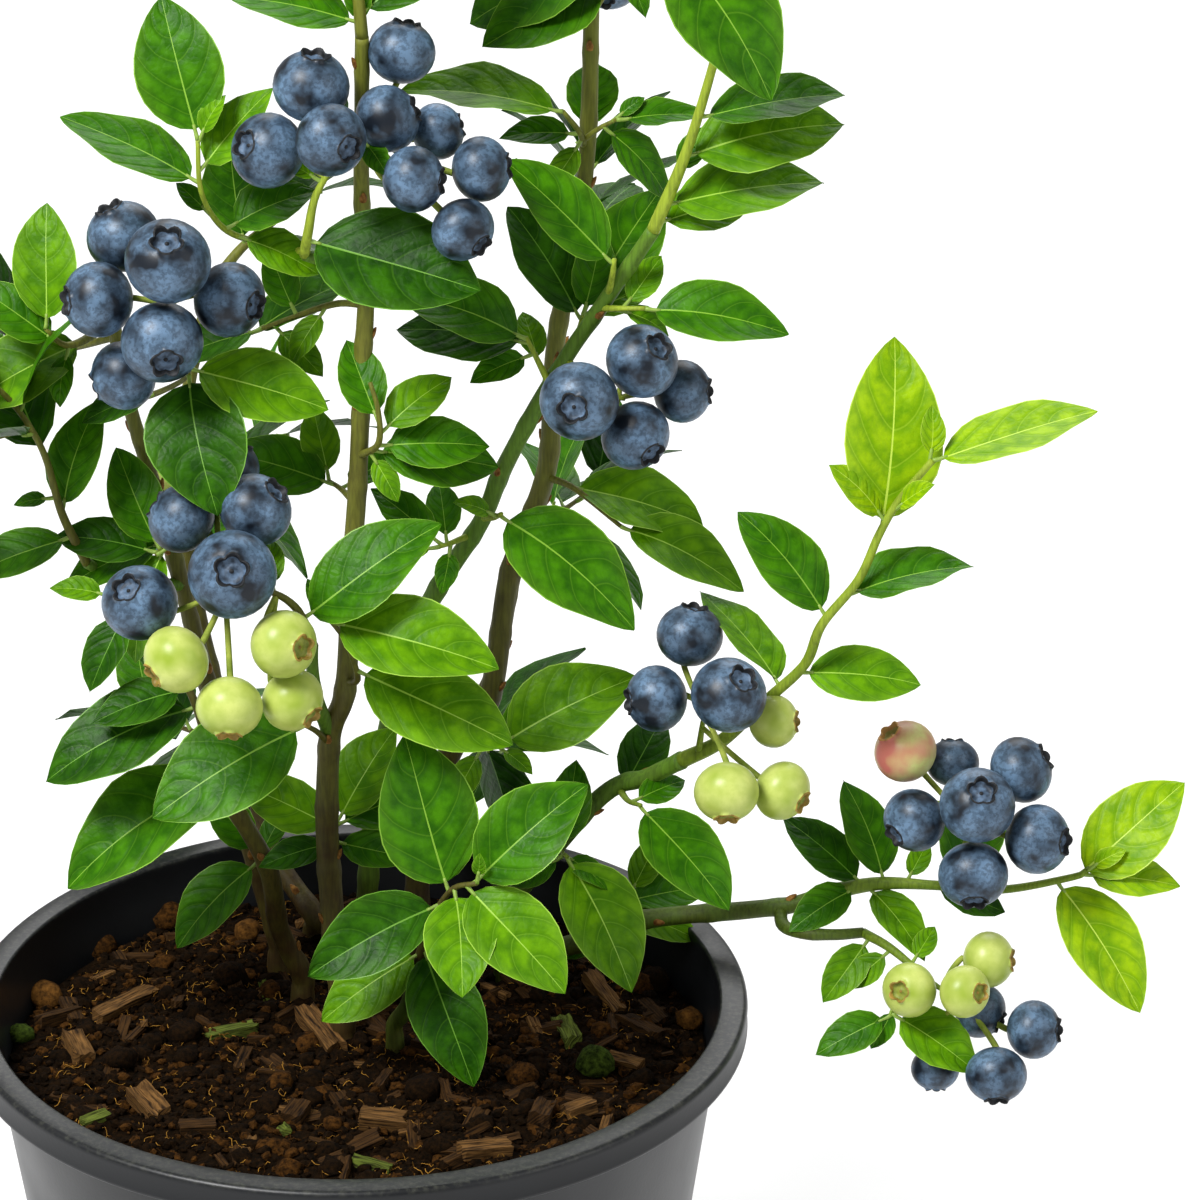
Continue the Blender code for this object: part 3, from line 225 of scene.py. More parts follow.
# %% Sprays, by the limb that carries them
SPRAYS = {
    "fruit_b_left": ("bough_b_left", [
        twig([(-11, 85, 10), (-15, 94, 16), (-23, 98.5, 19), (-35, 98.5, 18)],
             [leaf(0.28, 31, 37, 6), leaf(0.6, 100, 14, -30)], BUNCH_MIDDLE)]),
    "fruit_h_front": ("cane_h", [
        twig([(-56, 145, -40), (-50, 146, -24), (-42, 150, -8), (-41, 154, -3)],
             [leaf(0.9, -82, 33, 12, 0.70), leaf(0.95, -19, 32, 0, 0.52), leaf(0.45, 200, 18)]),
        twig([(-41, 153, -4), (-44, 160, -2), (-47, 169, -2)], [], BUNCH_LEFT, 1.6)]),
    "fruit_b_high": ("bough_b_high", [
        twig([(-13, 180, 1), (-12, 186, 5), (-10, 195, 6), (-4, 204, 5), (4, 211, 3)],
             [leaf(0.15, -21, 40, 10, 0.56), leaf(0.9, -50, 13, 35), leaf(0.55, 150, 9, 10)],
             BUNCH_TOP)]),
    "fruit_d_right": ("cane_d", [
        twig([(51, 155, -16), (56, 147, -10), (65, 145, -5)], [leaf(0.5, 250, 9, -10)],
             BUNCH_RIGHT)]),
    "spray_g": ("cane_g", [
        twig([(15, 8, 8), (18, 18, 16), (23, 25.5, 23), (29, 27, 27)],
             [leaf(0.10, 212, 28), leaf(0.16, -73, 34, 8), leaf(0.62, 206, 34, 6),
              leaf(0.76, 110, 37, 0, 0.58), leaf(0.97, 42, 34, 0, 0.55),
              leaf(0.92, -50, 33, 10, 0.58),
              leaf(0.82, -79, 27, 30, 0.62), leaf(1.0, 80, 8, 30)], (), 2.2)]),
    "spray_e": ("cane_e", [
        twig([(79, 57, -20), (89, 62, -14), (100, 72, -8), (109, 80.5, -4), (113, 90, 0),
              (122, 101, 2), (127, 112, 2), (132, 120.5, 2), (140, 130, 2)],
             [leaf(0.34, 125, 31, -26, 0.34), leaf(0.40, -6, 28), leaf(0.57, 127, 31),
              leaf(0.64, 16, 29, 0, 0.38), leaf(0.81, 84, 43), leaf(1.0, 13, 38, 0, 0.30),
              leaf(0.99, 83, 13),
              leaf(0.83, 131, 19, 20), leaf(0.86, 30, 13, 40)], (), 3.2),
        twig([(83, 59, -17), (84, 66, -8), (85, 70, -4)], [], BUNCH_E, 1.8)]),
    "spray_f": ("cane_f", [
        twig([(115, 25, -24), (127.5, 27, -21), (141, 26.5, -18), (157, 25.5, -15),
              (174, 28.5, -12),
              (177.5, 30, -12)],
             [leaf(0.14, 142, 25, -8), leaf(0.12, 208, 20, 8), leaf(0.15, -51, 23, 20),
              leaf(0.22, 108, 26, -10), leaf(0.40, -23, 19, -10), leaf(0.30, 60, 12, -20),
              leaf(0.50, 78, 30, -35), leaf(0.88, -58, 36, 6, 0.50), leaf(0.96, 37, 33, 0, 0.56),
              leaf(0.98, -8, 23), leaf(1.0, 35, 11, 20)], (), 3.0),
        twig([(144, 26.5, -17.5), (147, 34, -12), (149.5, 42.5, -7)], [], BUNCH_F, 1.8)]),
    "spray_f_low": ("bough_f_low", [
        twig([(123, 15, -15), (130, 11, -8), (141, 2, 0), (148, -1.5, 3)],
             [leaf(0.08, 235, 19, 5), leaf(0.3, 225, 15, -20), leaf(0.5, 55, 12, -30)], BUNCH_LOW),
        twig([(135, 7, -4), (132, 1, 1), (130, -5, 3)],
             [leaf(1.0, 207, 20), leaf(0.97, -34, 24, 6, 0.6), leaf(0.8, 247, 12, -10)], (), 1.5)]),
    "leaf_d_front": ("cane_d", [
        twig([(30, 116, -26), (33, 116, -19), (35, 117, -14)],
             [leaf(0.9, -37, 40, 5, 0.56), leaf(0.8, 160, 12, 30)])]),
    "leaves_b_right": ("cane_b", [
        twig([(-3, 76, -3), (0, 77, 5), (-3, 86, 11), (-7.5, 92, 13)],
             [leaf(0.42, -28, 39, 4), leaf(0.95, -18, 39, 8), leaf(0.98, 120, 10)])]),
    "leaf_b_fold": ("cane_b", [
        twig([(-7, 61, -5), (-10, 64, 2), (-14, 66, 6)],
             [leaf(0.9, 210, 40, 4, 0.56), leaf(0.8, 120, 11, -10)])]),
    "leaf_d_left": ("cane_d", [
        twig([(61, 170, -13), (62, 175, -8), (62.5, 179, -6)], [leaf(0.9, 140, 33, 4)])]),
    "spray_d": ("cane_d", [
        twig([(72, 186, -8), (80, 205, -4), (87, 228, 0), (90, 242, 2), (92, 256, 3)],
             [leaf(0.10, 6, 35, 0, 0.44), leaf(0.03, 14, 25, -22), leaf(0.28, 13, 36, -10),
              leaf(0.20, 62, 13), leaf(0.42, 5, 32, 0, 0.36), leaf(0.88, 10, 30, -10),
              leaf(0.98, 70, 30), leaf(1.0, 120, 20, 20)], (), 2.8),
        twig([(87, 232, 0), (82, 246, 4), (76, 256, 8)],
             [leaf(0.97, -55, 39, 6, 0.6), leaf(0.8, 160, 30), leaf(0.95, 100, 27, 10)], (), 1.8)]),
    "leaves_d_right": ("cane_d", [
        twig([(59, 167, -14), (64, 167, -8), (70, 167, -6)],
             [leaf(1.0, -9, 32), leaf(0.5, -22, 14, -25), leaf(0.6, 50, 16, -20)])]),
    "leaves_d_fork": ("cane_d", [
        twig([(47, 148, -18), (43, 156, -14), (41, 160, -13)],
             [leaf(0.97, 159, 31, 4), leaf(0.9, 174, 31, -14), leaf(0.7, 204, 16, 10),
              leaf(0.45, 110, 15, -30)])]),
    "leaves_d_behind": ("cane_d", [
        twig([(53, 159, -16), (54, 162, -22), (55, 166, -26)],
             [leaf(0.8, 123, 31, -8), leaf(0.9, 75, 20), leaf(1.0, 62, 34, -14),
              leaf(0.95, 20, 18, -20)])]),
    "leaves_d_low": ("cane_d", [
        twig([(28, 112, -27), (23, 110, -22), (20, 109, -20)],
             [leaf(0.9, 146, 21), leaf(1.0, 190, 11), leaf(0.7, 262, 12, 10),
              leaf(0.8, 100, 17, -30)])]),
    "leaf_e_low": ("cane_e", [
        twig([(64, 49.5, -28), (66, 47, -18), (69, 46, -13)],
             [leaf(0.95, -51, 32, 6, 0.54), leaf(0.08, 60, 24, -30), leaf(0.7, 20, 16, -30)])]),
    "leaves_e_foot": ("cane_e", [
        twig([(48, 36, -29), (49, 35, -20), (51, 33.5, -12)],
             [leaf(0.95, -61, 35, 2, 0.56), leaf(0.75, -35, 14, 20), leaf(0.6, 80, 22, -10),
              leaf(0.85, 215, 15, -15)])]),
    "leaves_f_foot": ("cane_f", [
        twig([(58, 14, -30), (62, 20, -37), (66, 24, -41)],
             [leaf(0.7, -25, 21, 5), leaf(0.85, 8, 22, -10), leaf(1.0, 60, 16, -10),
              leaf(0.6, 230, 17, -15)])]),
    "leaves_c_mid": ("cane_c", [
        twig([(46, 126, -44), (53, 123, -36), (64, 114, -30)],
             [leaf(0.35, -18, 33, -6), leaf(1.0, -24, 32, -8)])]),
    "leaves_c_low": ("cane_c", [
        twig([(24, 61, -44), (30, 60, -32), (35, 61, -24)],
             [leaf(1.0, 29, 35, 0, 0.56), leaf(0.9, -38, 11, 10), leaf(0.8, 22, 36, -25),
              leaf(0.55, 120, 20, -30), leaf(0.6, 240, 15)])]),
    "leaves_c_high": ("cane_c", [
        twig([(55, 207, -39), (54, 210, -31), (50, 215, -27)],
             [leaf(1.0, 173, 36, 0, 0.36), leaf(0.5, 183, 18, 0, 0.5), leaf(0.3, 240, 14, -10)]),
        twig([(55, 208, -35), (59, 211, -31), (63, 213, -30)],
             [leaf(1.0, 3, 20, 0, 0.42), leaf(0.9, 38, 9), leaf(0.7, -44, 23, -20)], (), 1.6)]),
    "spray_c_fork": ("cane_c", [
        twig([(57, 239, -40), (61, 246, -38), (63, 257, -34), (66, 268, -30)],
             [leaf(0.25, 211, 31, 8, 0.56), leaf(0.45, 204, 36, -16, 0.54),
              leaf(0.5, -62, 16, 10)] + spiral(5, 55, 32, 0.5))]),
    "spray_c_back": ("cane_c", [
        twig([(57, 254, -40), (62, 262, -54), (70, 272, -66), (76, 284, -72)], spiral(6, 100, 34)),
        twig([(64, 264, -57), (62, 262, -66), (64, 258, -72)], [], bunch(4, 16, 3), 1.6)]),
    "spray_c_crown": ("cane_c", [
        twig([(60, 306, -36), (62, 324, -36), (60, 342, -38), (58, 356, -40)],
             spiral(8, 35, 36, 0.1), (), 2.6),
        twig([(61, 316, -36), (50, 322, -30), (38, 330, -26)], spiral(4, 200, 32, 0.5), (), 1.8)]),
    "leaves_h_left": ("cane_h", [
        twig([(-60, 167, -36), (-64, 161, -27), (-71, 158, -19), (-76, 162, -16)],
             [leaf(0.5, 211, 33, 0, 0.56), leaf(0.8, 151, 24), leaf(1.0, 85, 28, 0, 0.56),
              leaf(0.7, 260, 14)])]),
    "spray_left": ("bough_h_left", [
        twig([(-66, 105, -28), (-72, 117, -22), (-77, 133, -17), (-86, 146, -12), (-98, 154, -8)],
             [leaf(0.14, 205, 26), leaf(0.25, 76, 27), leaf(0.32, 190, 10)]
             + spiral(6, 60, 34, 0.5), (), 2.2),
        twig([(-80, 138, -15), (-94, 134, -13), (-108, 131, -10)], [], bunch(3, 16, 7), 1.6)]),
    "leaves_h_mid": ("cane_h", [
        twig([(-47, 115, -44), (-46, 111, -32), (-49, 107, -25)],
             [leaf(0.7, 200, 26, -5), leaf(0.9, 118, 26, -6), leaf(1.0, 32, 22, -10),
              leaf(0.8, 252, 28, -8), leaf(0.95, 168, 24)])]),
    "spray_h_crown": ("cane_h", [
        twig([(-59, 160, -37), (-74, 157, -50), (-92, 160, -58), (-108, 170, -62)],
             spiral(7, 0, 34, 0.55))]),
    "leaves_a_tip": ("cane_a", [
        twig([(-31, 47, -8), (-37, 63, -4), (-41, 74, -2), (-50, 89, -5), (-60, 97, -8)],
             [leaf(0.10, 209, 43, 0, 0.46), leaf(0.46, 202, 38), leaf(0.54, 196, 23, 8),
              leaf(0.93, 251, 21), leaf(1.0, 169, 14), leaf(0.3, 60, 16, -25)], (), 2.6)]),
    "leaves_a_low": ("cane_a", [
        twig([(-21, 26, -16), (-24, 31, -23), (-24, 34, -28)],
             [leaf(0.8, 225, 28, 0, 0.52), leaf(1.0, 133, 20, -5), leaf(0.9, 60, 14, -15)])]),
    "leaves_b_foot": ("cane_b", [
        twig([(-7, 33, -8), (-6, 38, -14), (-5, 43, -17)],
             [leaf(0.8, 158, 25, 0, 0.52), leaf(0.45, 197, 18, 10), leaf(0.9, 56, 26, -5, 0.6),
              leaf(0.85, 20, 24, -10, 0.6), leaf(0.5, -16, 20, 10)])]),
    "leaves_b_high": ("cane_b", [
        twig([(0, 131, -8), (5, 134, -2), (5, 142, 0), (3, 149, -1)],
             [leaf(0.35, 0, 25, -6), leaf(0.25, -12, 30, -20), leaf(0.6, 115, 21, -12),
              leaf(0.5, 42, 21, -15), leaf(0.2, -60, 13)])]),
    "leaves_b_behind": ("cane_b", [
        twig([(-1, 120, -8), (-4, 123, -14), (-7, 125, -18)],
             [leaf(0.8, 163, 27, -8, 0.55), leaf(1.0, 100, 18, -10), leaf(0.6, 30, 16, -25)])]),
    "leaves_b_dark": ("cane_b", [
        twig([(1, 168, -11), (-6, 168, -17), (-18, 164, -22), (-26, 161, -25)],
             [leaf(1.0, 28, 32, -8, 0.40), leaf(0.6, 116, 17), leaf(0.9, 200, 22),
              leaf(0.35, 240, 15),
              leaf(0.8, -50, 16)])]),
    "leaves_b_top": ("bough_b_high", [
        twig([(-9, 179.5, -1.5), (-14, 181, -8), (-21, 182.5, -12), (-32, 186, -7), (-38, 195, 1),
              (-39, 208, 2)],
             [leaf(0.45, -22, 20, -6), leaf(0.52, 25, 22, -4, 0.6), leaf(0.62, 138, 11),
              leaf(0.82, 151, 33, 0, 0.36), leaf(0.87, 47, 24), leaf(1.0, 104, 32, 0, 0.60),
              leaf(0.99, 62, 12, 10)])]),
    "spray_b_crown": ("cane_b", [
        twig([(1, 233, -6), (0, 244, -6), (-2, 258, -8), (-4, 272, -10)],
             [leaf(0.10, 170, 29, 0, 0.42), leaf(0.15, 38, 30, -10), leaf(0.05, 95, 13, 10)]
             + spiral(6, 80, 34, 0.4), (), 2.4)]),
    "spray_i_low": ("cane_i", [
        twig([(26, 66, -84), (31, 62, -98), (37, 60, -112)], spiral(6, 30, 36, 0.4))]),
    "spray_i_mid": ("cane_i", [
        twig([(42, 116, -92), (50, 118, -108), (58, 124, -118)], spiral(6, 10, 36, 0.35))]),
    "spray_i_crown": ("cane_i", [
        twig([(50, 170, -92), (54, 184, -94), (56, 198, -98), (55, 210, -100)],
             spiral(8, 80, 35, 0.15), (), 2.4)]),
    "spray_j_low": ("cane_j", [
        twig([(-31.5, 64, -83), (-40, 64, -98), (-50, 68, -108)], spiral(6, 80, 36, 0.3))]),
    "spray_j_mid": ("cane_j", [
        twig([(-42.5, 122, -96), (-32, 128, -112), (-20, 136, -122)], spiral(6, 140, 36, 0.3)),
        twig([(-32, 128, -112), (-35, 125, -120), (-39, 121, -124)], [], bunch(4, 17, 11), 1.6)]),
    "spray_j_crown": ("cane_j", [
        twig([(-36, 172, -94), (-28, 182, -98), (-18, 190, -102), (-8, 198, -104)],
             spiral(6, 15, 31, 0.35), (), 2.4)]),
}
print(len(CANES), "canes,", len(BOUGHS), "boughs,", len(SPRAYS), "sprays")

# %% [markdown]
# ## Courses
#
# Every limb, twig and stalk is a tube round a smooth line. The line runs through
# the few points of the plan, and is then cut into even steps, so that the tube's
# rings sit at equal distances.

# %% Lines and the directions along them
def smooth(points, step):
    """Evenly spaced points on a Catmull-Rom curve through the given ones."""
    ends = [points[0] * 2 - points[1]] + list(points) + [points[-1] * 2 - points[-2]]
    fine = []
    for a, b, c, d in zip(ends, ends[1:], ends[2:], ends[3:]):
        for tenth in range(10):
            t = tenth / 10
            fine.append(0.5 * (2 * b + (c - a) * t + (2 * a - 5 * b + 4 * c - d) * t * t
                               + (3 * b - a - 3 * c + d) * t ** 3))
    fine.append(points[-1])
    lengths = [0.0]
    for a, b in zip(fine, fine[1:]):
        lengths.append(lengths[-1] + (b - a).length)
    count = max(2, round(lengths[-1] / step))
    spaced = []
    place = 0
    for index in range(count + 1):
        target = lengths[-1] * index / count
        while place < len(fine) - 2 and lengths[place + 1] < target:
            place += 1
        part = (target - lengths[place]) / max(1e-9, lengths[place + 1] - lengths[place])
        spaced.append(fine[place].lerp(fine[place + 1], min(1.0, part)))
    return spaced


def point_at(points, share):
    """Point and direction at a share of a course of evenly spaced points."""
    place = min(len(points) - 2, int(share * (len(points) - 1)))
    part = share * (len(points) - 1) - place
    direction = (points[place + 1] - points[place]).normalized()
    return points[place].lerp(points[place + 1], part), direction


def rings_along(points):
    """For each point of a course: its place and two directions across it."""
    heading = (points[1] - points[0]).normalized()
    turn = UP.rotation_difference(heading)
    rows = []
    for index, point in enumerate(points):
        ahead = (points[min(index + 1, len(points) - 1)] - points[max(index - 1, 0)]).normalized()
        turn = heading.rotation_difference(ahead) @ turn
        heading = ahead
        rows.append((point, turn @ RIGHT, turn @ Vector((0, 1, 0))))
    return [np.array(column) for column in zip(*rows)]


# %% [markdown]
# ## Shapes that repeat
#
# A bush is a few shapes made many times. Each shape is modelled once with bmesh.
# Its points are then laid along a course or on a twig, and all the copies of one
# kind are joined in a single mesh. That keeps the file light, and every leaf can
# still have a curl and a twist of its own.

# %% Patterns and joined meshes
def pattern_of(bm):
    """The points, corners and faces of a shape, ready to be copied."""
    bm.verts.index_update()
    pattern = {"points": np.array([v.co for v in bm.verts]),
               "corners": np.array([v.index for f in bm.faces for v in f.verts]),
               "sizes": np.array([len(f.verts) for f in bm.faces]),
               "finishes": np.array([f.material_index for f in bm.faces])}
    bm.free()
    return pattern


def joined(name, copies, finishes, replaced=()):
    """One piece from many copies, each a pattern with its own points in millimetres."""
    counts = [len(points) for _, points in copies]
    offsets = np.cumsum([0] + counts)
    sizes = np.concatenate([pattern["sizes"] for pattern, _ in copies])
    corners = np.concatenate([pattern["corners"] + offset
                              for (pattern, _), offset in zip(copies, offsets)])
    mesh = bpy.data.meshes.new(name)
    mesh.vertices.add(int(offsets[-1]))
    places = np.concatenate([points for _, points in copies]) * MM
    mesh.vertices.foreach_set("co", places.astype(np.float32).ravel())
    mesh.loops.add(len(corners))
    mesh.loops.foreach_set("vertex_index", corners.astype(np.int32))
    mesh.polygons.add(len(sizes))
    mesh.polygons.foreach_set("loop_start", (np.cumsum(sizes) - sizes).astype(np.int32))
    mesh.polygons.foreach_set("material_index",
                              np.concatenate([p["finishes"] for p, _ in copies]).astype(np.int32))
    mesh.polygons.foreach_set("use_smooth", np.concatenate(
        [np.full(len(pattern["sizes"]), pattern.get("smooth", True)) for pattern, _ in copies]))
    if "chart" in copies[0][0]:
        layer = mesh.uv_layers.new(name="chart")
        chart = np.concatenate([pattern["chart"][pattern["corners"]] for pattern, _ in copies])
        layer.data.foreach_set("uv", chart.astype(np.float32).ravel())
    mesh.update(calc_edges=True)
    mesh.validate()
    for finish in finishes:
        mesh.materials.append(finish)
    piece = bpy.data.objects.new(name, mesh)
    bpy.context.scene.collection.objects.link(piece)
    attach(piece, "root")
    if replaced:
        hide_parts(*replaced)
    print(f"{name}: {len(copies)} copies, {int((sizes - 2).sum())} triangles")


# %% Tubes
@cache
def tube_pattern(sides, steps):
    """An upright tube of unit rings, one step apart, both ends closed."""
    bm = bmesh.new()
    bmesh.ops.create_circle(bm, segments=sides, radius=1)
    bmesh.ops.spin(bm, geom=bm.edges[:], cent=(0, 0, 0), axis=UP, dvec=UP, angle=0,
                   steps=steps, use_duplicate=False)
    bmesh.ops.holes_fill(bm, edges=[e for e in bm.edges if e.is_boundary], sides=sides)
    bmesh.ops.recalc_face_normals(bm, faces=bm.faces)
    return pattern_of(bm)


def tube(points, radii, sides, finish=0):
    """A tube along a course; radii are per point, or per point and side."""
    pattern = tube_pattern(sides, len(points) - 1)
    places, across, other = rings_along(points)
    row = np.rint(pattern["points"][:, 2]).astype(int)
    angle = np.arctan2(pattern["points"][:, 1], pattern["points"][:, 0])
    radii = np.asarray(radii, float)
    if radii.ndim == 2:
        column = np.rint(angle / (2 * math.pi / sides)).astype(int) % sides
        reach = radii[row, column]
    else:
        reach = radii[row]
    cosine, sine = (reach * np.cos(angle))[:, None], (reach * np.sin(angle))[:, None]
    shape = places[row] + across[row] * cosine + other[row] * sine
    return {**pattern, "finishes": np.full(len(pattern["sizes"]), finish)}, shape


# %% [markdown]
# ## Finishes
#
# Each finish starts from what the real surface is. Colours are picked as sRGB
# hex values and turned linear. Patterns read Object coordinates, and the size of
# each pattern is given in millimetres.

# %% Colour and node helpers
# A node that mixes two colours takes them at inputs 6 and 7, and gives the mix
# at output 2.
TONE_A, TONE_B, MIXED = 6, 7, 2


def linear(code):
    """A hex colour as linear red, green, blue and alpha."""
    channels = [int(code[i:i + 2], 16) / 255 for i in (1, 3, 5)]
    return [c / 12.92 if c <= 0.04045 else ((c + 0.055) / 1.055) ** 2.4 for c in channels] + [1.0]


def per_metre(size):
    """The scale of a pattern whose features are `size` millimetres wide."""
    return 1 / (size * MM)


def new_finish(name, **settings):
    """A material with its shader's own values set, and its tree and shader."""
    finish = bpy.data.materials.new(name)
    finish.use_nodes = True
    tree = finish.node_tree
    shader = tree.nodes["Principled BSDF"]
    for socket, value in settings.items():
        shader.inputs[socket.replace("_", " ")].default_value = value
    return finish, tree, shader


def add_node(tree, kind, settings=None, links=None, out=0):
    """Add one node with its settings and the sockets that feed it; return an output."""
    made = tree.nodes.new("ShaderNode" + kind)
    for name, value in (settings or {}).items():
        if isinstance(name, int) or name in made.inputs:
            made.inputs[name].default_value = value
        else:
            setattr(made, name, value)
    for name, socket in (links or {}).items():
        tree.links.new(socket, made.inputs[name])
    return made.outputs[out]


def patches(tree, place, scale, detail, roughness, span, result=(0, 1)):
    """Random patches: the plain noise, and its `span` stretched over `result`."""
    plain = add_node(tree, "TexNoise", {"Scale": scale, "Detail": detail, "Roughness": roughness},
                     {"Vector": place})
    spread = add_node(tree, "MapRange", {"From Min": span[0], "From Max": span[1],
                                         "To Min": result[0], "To Max": result[1]},
                      {"Value": plain})
    return plain, spread


def dress(tree, shader, colour, height, strength, depth):
    """Give a shader its colour and a relief that is `depth` millimetres deep."""
    relief = add_node(tree, "Bump", {"Strength": strength, "Distance": depth * MM},
                      {"Height": height})
    tree.links.new(colour, shader.inputs["Base Color"])
    tree.links.new(relief, shader.inputs["Normal"])


# %% [markdown]
# ## The pot
#
# A nursery pot of this kind is injection moulded in black polypropylene. It has a
# thin tapered wall, a flat rim and a lip turned down outside for grip. It could
# be a stack of cones, but a turned profile is closer to the real mould: half a
# section is drawn once and spun round the axis.

# %% Moulded black polypropylene
# Carbon black gives the colour. A fine etched mould leaves a satin skin that
# picks up soft grey highlights and a few scuffs.
ETCH_SIZE = 0.9
SCUFF_SIZE = 26.0
DUST_SIZE = 1.5
DUST_FROM = 148.6
DUST_FULL = 149.8
polypropylene, tree, shader = new_finish("moulded black polypropylene", IOR=1.49,
                                         Specular_IOR_Level=0.36)
place = add_node(tree, "TexCoord", out="Object")
etch = add_node(tree, "TexNoise", {"Scale": per_metre(ETCH_SIZE), "Detail": 2.0},
                {"Vector": place})
scuffs, gloss = patches(tree, place, per_metre(SCUFF_SIZE), 6.0, 0.5, (0, 1), (0.26, 0.48))
black = add_node(tree, "Mix", {"data_type": "RGBA", TONE_A: linear("#0a0b0d"),
                               TONE_B: linear("#15171a")}, {0: scuffs}, MIXED)
# Soil dust lies in specks on the flat of the rim.
height = add_node(tree, "SeparateXYZ", None, {"Vector": place}, "Z")
level = add_node(tree, "MapRange", {"From Min": DUST_FROM * MM, "From Max": DUST_FULL * MM},
                 {"Value": height})
specks = patches(tree, place, per_metre(DUST_SIZE), 6.0, 0.7, (0.46, 0.80), (0, 0.34))[1]
dust = add_node(tree, "Math", {"operation": "MULTIPLY"}, {0: level, 1: specks})
dusty = add_node(tree, "Mix", {"data_type": "RGBA", TONE_B: linear("#6c6d5e")},
                 {0: dust, TONE_A: black}, MIXED)
tree.links.new(gloss, shader.inputs["Roughness"])
dress(tree, shader, dusty, etch, 0.25, 0.08)
print(polypropylene.name, "has", len(tree.nodes), "nodes")

# %% Section of the pot
# Radii and heights in millimetres.
POT_RIM_RADIUS = 95.0
POT_FOOT_RADIUS = 68.0
POT_WALL = 1.8
POT_FLOOR = 3.0
LIP_DEPTH = 7.5
LIP_LEAN = 0.2
SHOULDER_RADIUS = 88.0
SHOULDER_HEIGHT = 139.5
MOUTH_RADIUS = 88.5
UNDER_LIP = POT_HEIGHT - LIP_DEPTH
TURNED_SEGMENTS = 160


def outer_radius(height):
    """Radius of the pot's outer wall below its shoulder."""
    return POT_FOOT_RADIUS + (SHOULDER_RADIUS - POT_FOOT_RADIUS) * height / SHOULDER_HEIGHT


def corner(radius, height, *offsets):
    """The points of a section that lie round one of its corners."""
    return [(radius + out, height + up) for out, up in offsets]


def turned(section, steps, merge):
    """A closed section in radius and height, spun round the upright axis."""
    bm = bmesh.new()
    verts = [bm.verts.new((radius, 0, height)) for radius, height in section]
    edges = [bm.edges.new(pair) for pair in zip(verts, verts[1:])]
    bmesh.ops.spin(bm, geom=verts + edges, cent=(0, 0, 0), axis=UP, angle=2 * math.pi,
                   steps=steps, use_merge=True)
    bmesh.ops.remove_doubles(bm, verts=bm.verts, dist=merge)
    bmesh.ops.recalc_face_normals(bm, faces=bm.faces)
    return bm


def to_piece(name, bm, finish, replaced):
    """A finished piece from one shape in millimetres."""
    joined(name, [(shape := pattern_of(bm), shape["points"])], [finish], replaced)


# Up the inside, over the rim and its lip, and down the outside.
POT_SECTION = [
    (0, POT_FLOOR),
    *corner(outer_radius(POT_FLOOR) - POT_WALL, POT_FLOOR, (-4, 0), (-1.6, 0.5)),
    (outer_radius(6) - POT_WALL, 6),
    *corner(SHOULDER_RADIUS - POT_WALL, SHOULDER_HEIGHT, (0, -1), (0.7, 0.8)),
    *corner(MOUTH_RADIUS, POT_HEIGHT, (-0.4, -2.6), (-0.3, -0.9), (-0.2, -0.4), (0, -0.1),
            (0.4, 0)),
    *corner(POT_RIM_RADIUS, POT_HEIGHT, (-1.4, -0.05), (-0.8, -0.2), (-0.3, -0.6),
            (-0.08, -1.1), (0, -1.8)),
    *corner(POT_RIM_RADIUS, UNDER_LIP, (-LIP_LEAN, 1.4), (0, 1.0), (0, 0.4), (-0.35, 0),
            (-LIP_LEAN - 1.3, 0), (-LIP_LEAN - 1.6, 0.4)),
    *corner(POT_RIM_RADIUS, POT_HEIGHT, (-2.6, -3.4)),
    *corner(MOUTH_RADIUS, POT_HEIGHT, (2.4, -2.9), (1.0, -3.6)),
    *corner(SHOULDER_RADIUS, SHOULDER_HEIGHT, (0.7, 0.9), (0, -1)),
    (outer_radius(4), 4),
    *corner(POT_FOOT_RADIUS, 0, (0.1, 1.6), (-0.5, 0.5), (-1.6, 0)),
    (0, 0)]
print("the pot's section has", len(POT_SECTION), "points")

# %% Turn the pot and drill its drain holes
DRAIN_HOLES = 6
DRAIN_RADIUS = 5.0
DRAIN_CIRCLE = 48.0
DRAIN_SEGMENTS = 24


def plain_object(name, bm, collection):
    """A plain object from a shape, linked to a collection."""
    made = bpy.data.objects.new(name, bpy.data.meshes.new(name))
    bm.to_mesh(made.data)
    bm.free()
    collection.objects.link(made)
    return made


blank = plain_object("blank", turned(POT_SECTION, TURNED_SEGMENTS, 0.001),
                     bpy.context.scene.collection)
cutters = bpy.data.collections.new("drain cutters")
bpy.context.scene.collection.children.link(cutters)
for index in range(DRAIN_HOLES):
    turn = 2 * math.pi * (index + 0.5) / DRAIN_HOLES
    bm = bmesh.new()
    centre = (DRAIN_CIRCLE * math.cos(turn), DRAIN_CIRCLE * math.sin(turn), POT_FLOOR / 2)
    bmesh.ops.create_cone(bm, cap_ends=True, segments=DRAIN_SEGMENTS, radius1=DRAIN_RADIUS,
                          radius2=DRAIN_RADIUS, depth=POT_FLOOR * 3,
                          matrix=Matrix.Translation(centre))
    plain_object("cutter", bm, cutters)
drill = blank.modifiers.new("drains", "BOOLEAN")
drill.operand_type = "COLLECTION"
drill.collection = cutters
bpy.context.view_layer.update()
bm = bmesh.new()
bm.from_mesh(blank.evaluated_get(bpy.context.evaluated_depsgraph_get()).data)
to_piece("nursery_pot", bm, polypropylene, ["pot"])
for spare in [*cutters.objects, blank]:
    bpy.data.objects.remove(spare)
bpy.data.collections.remove(cutters)
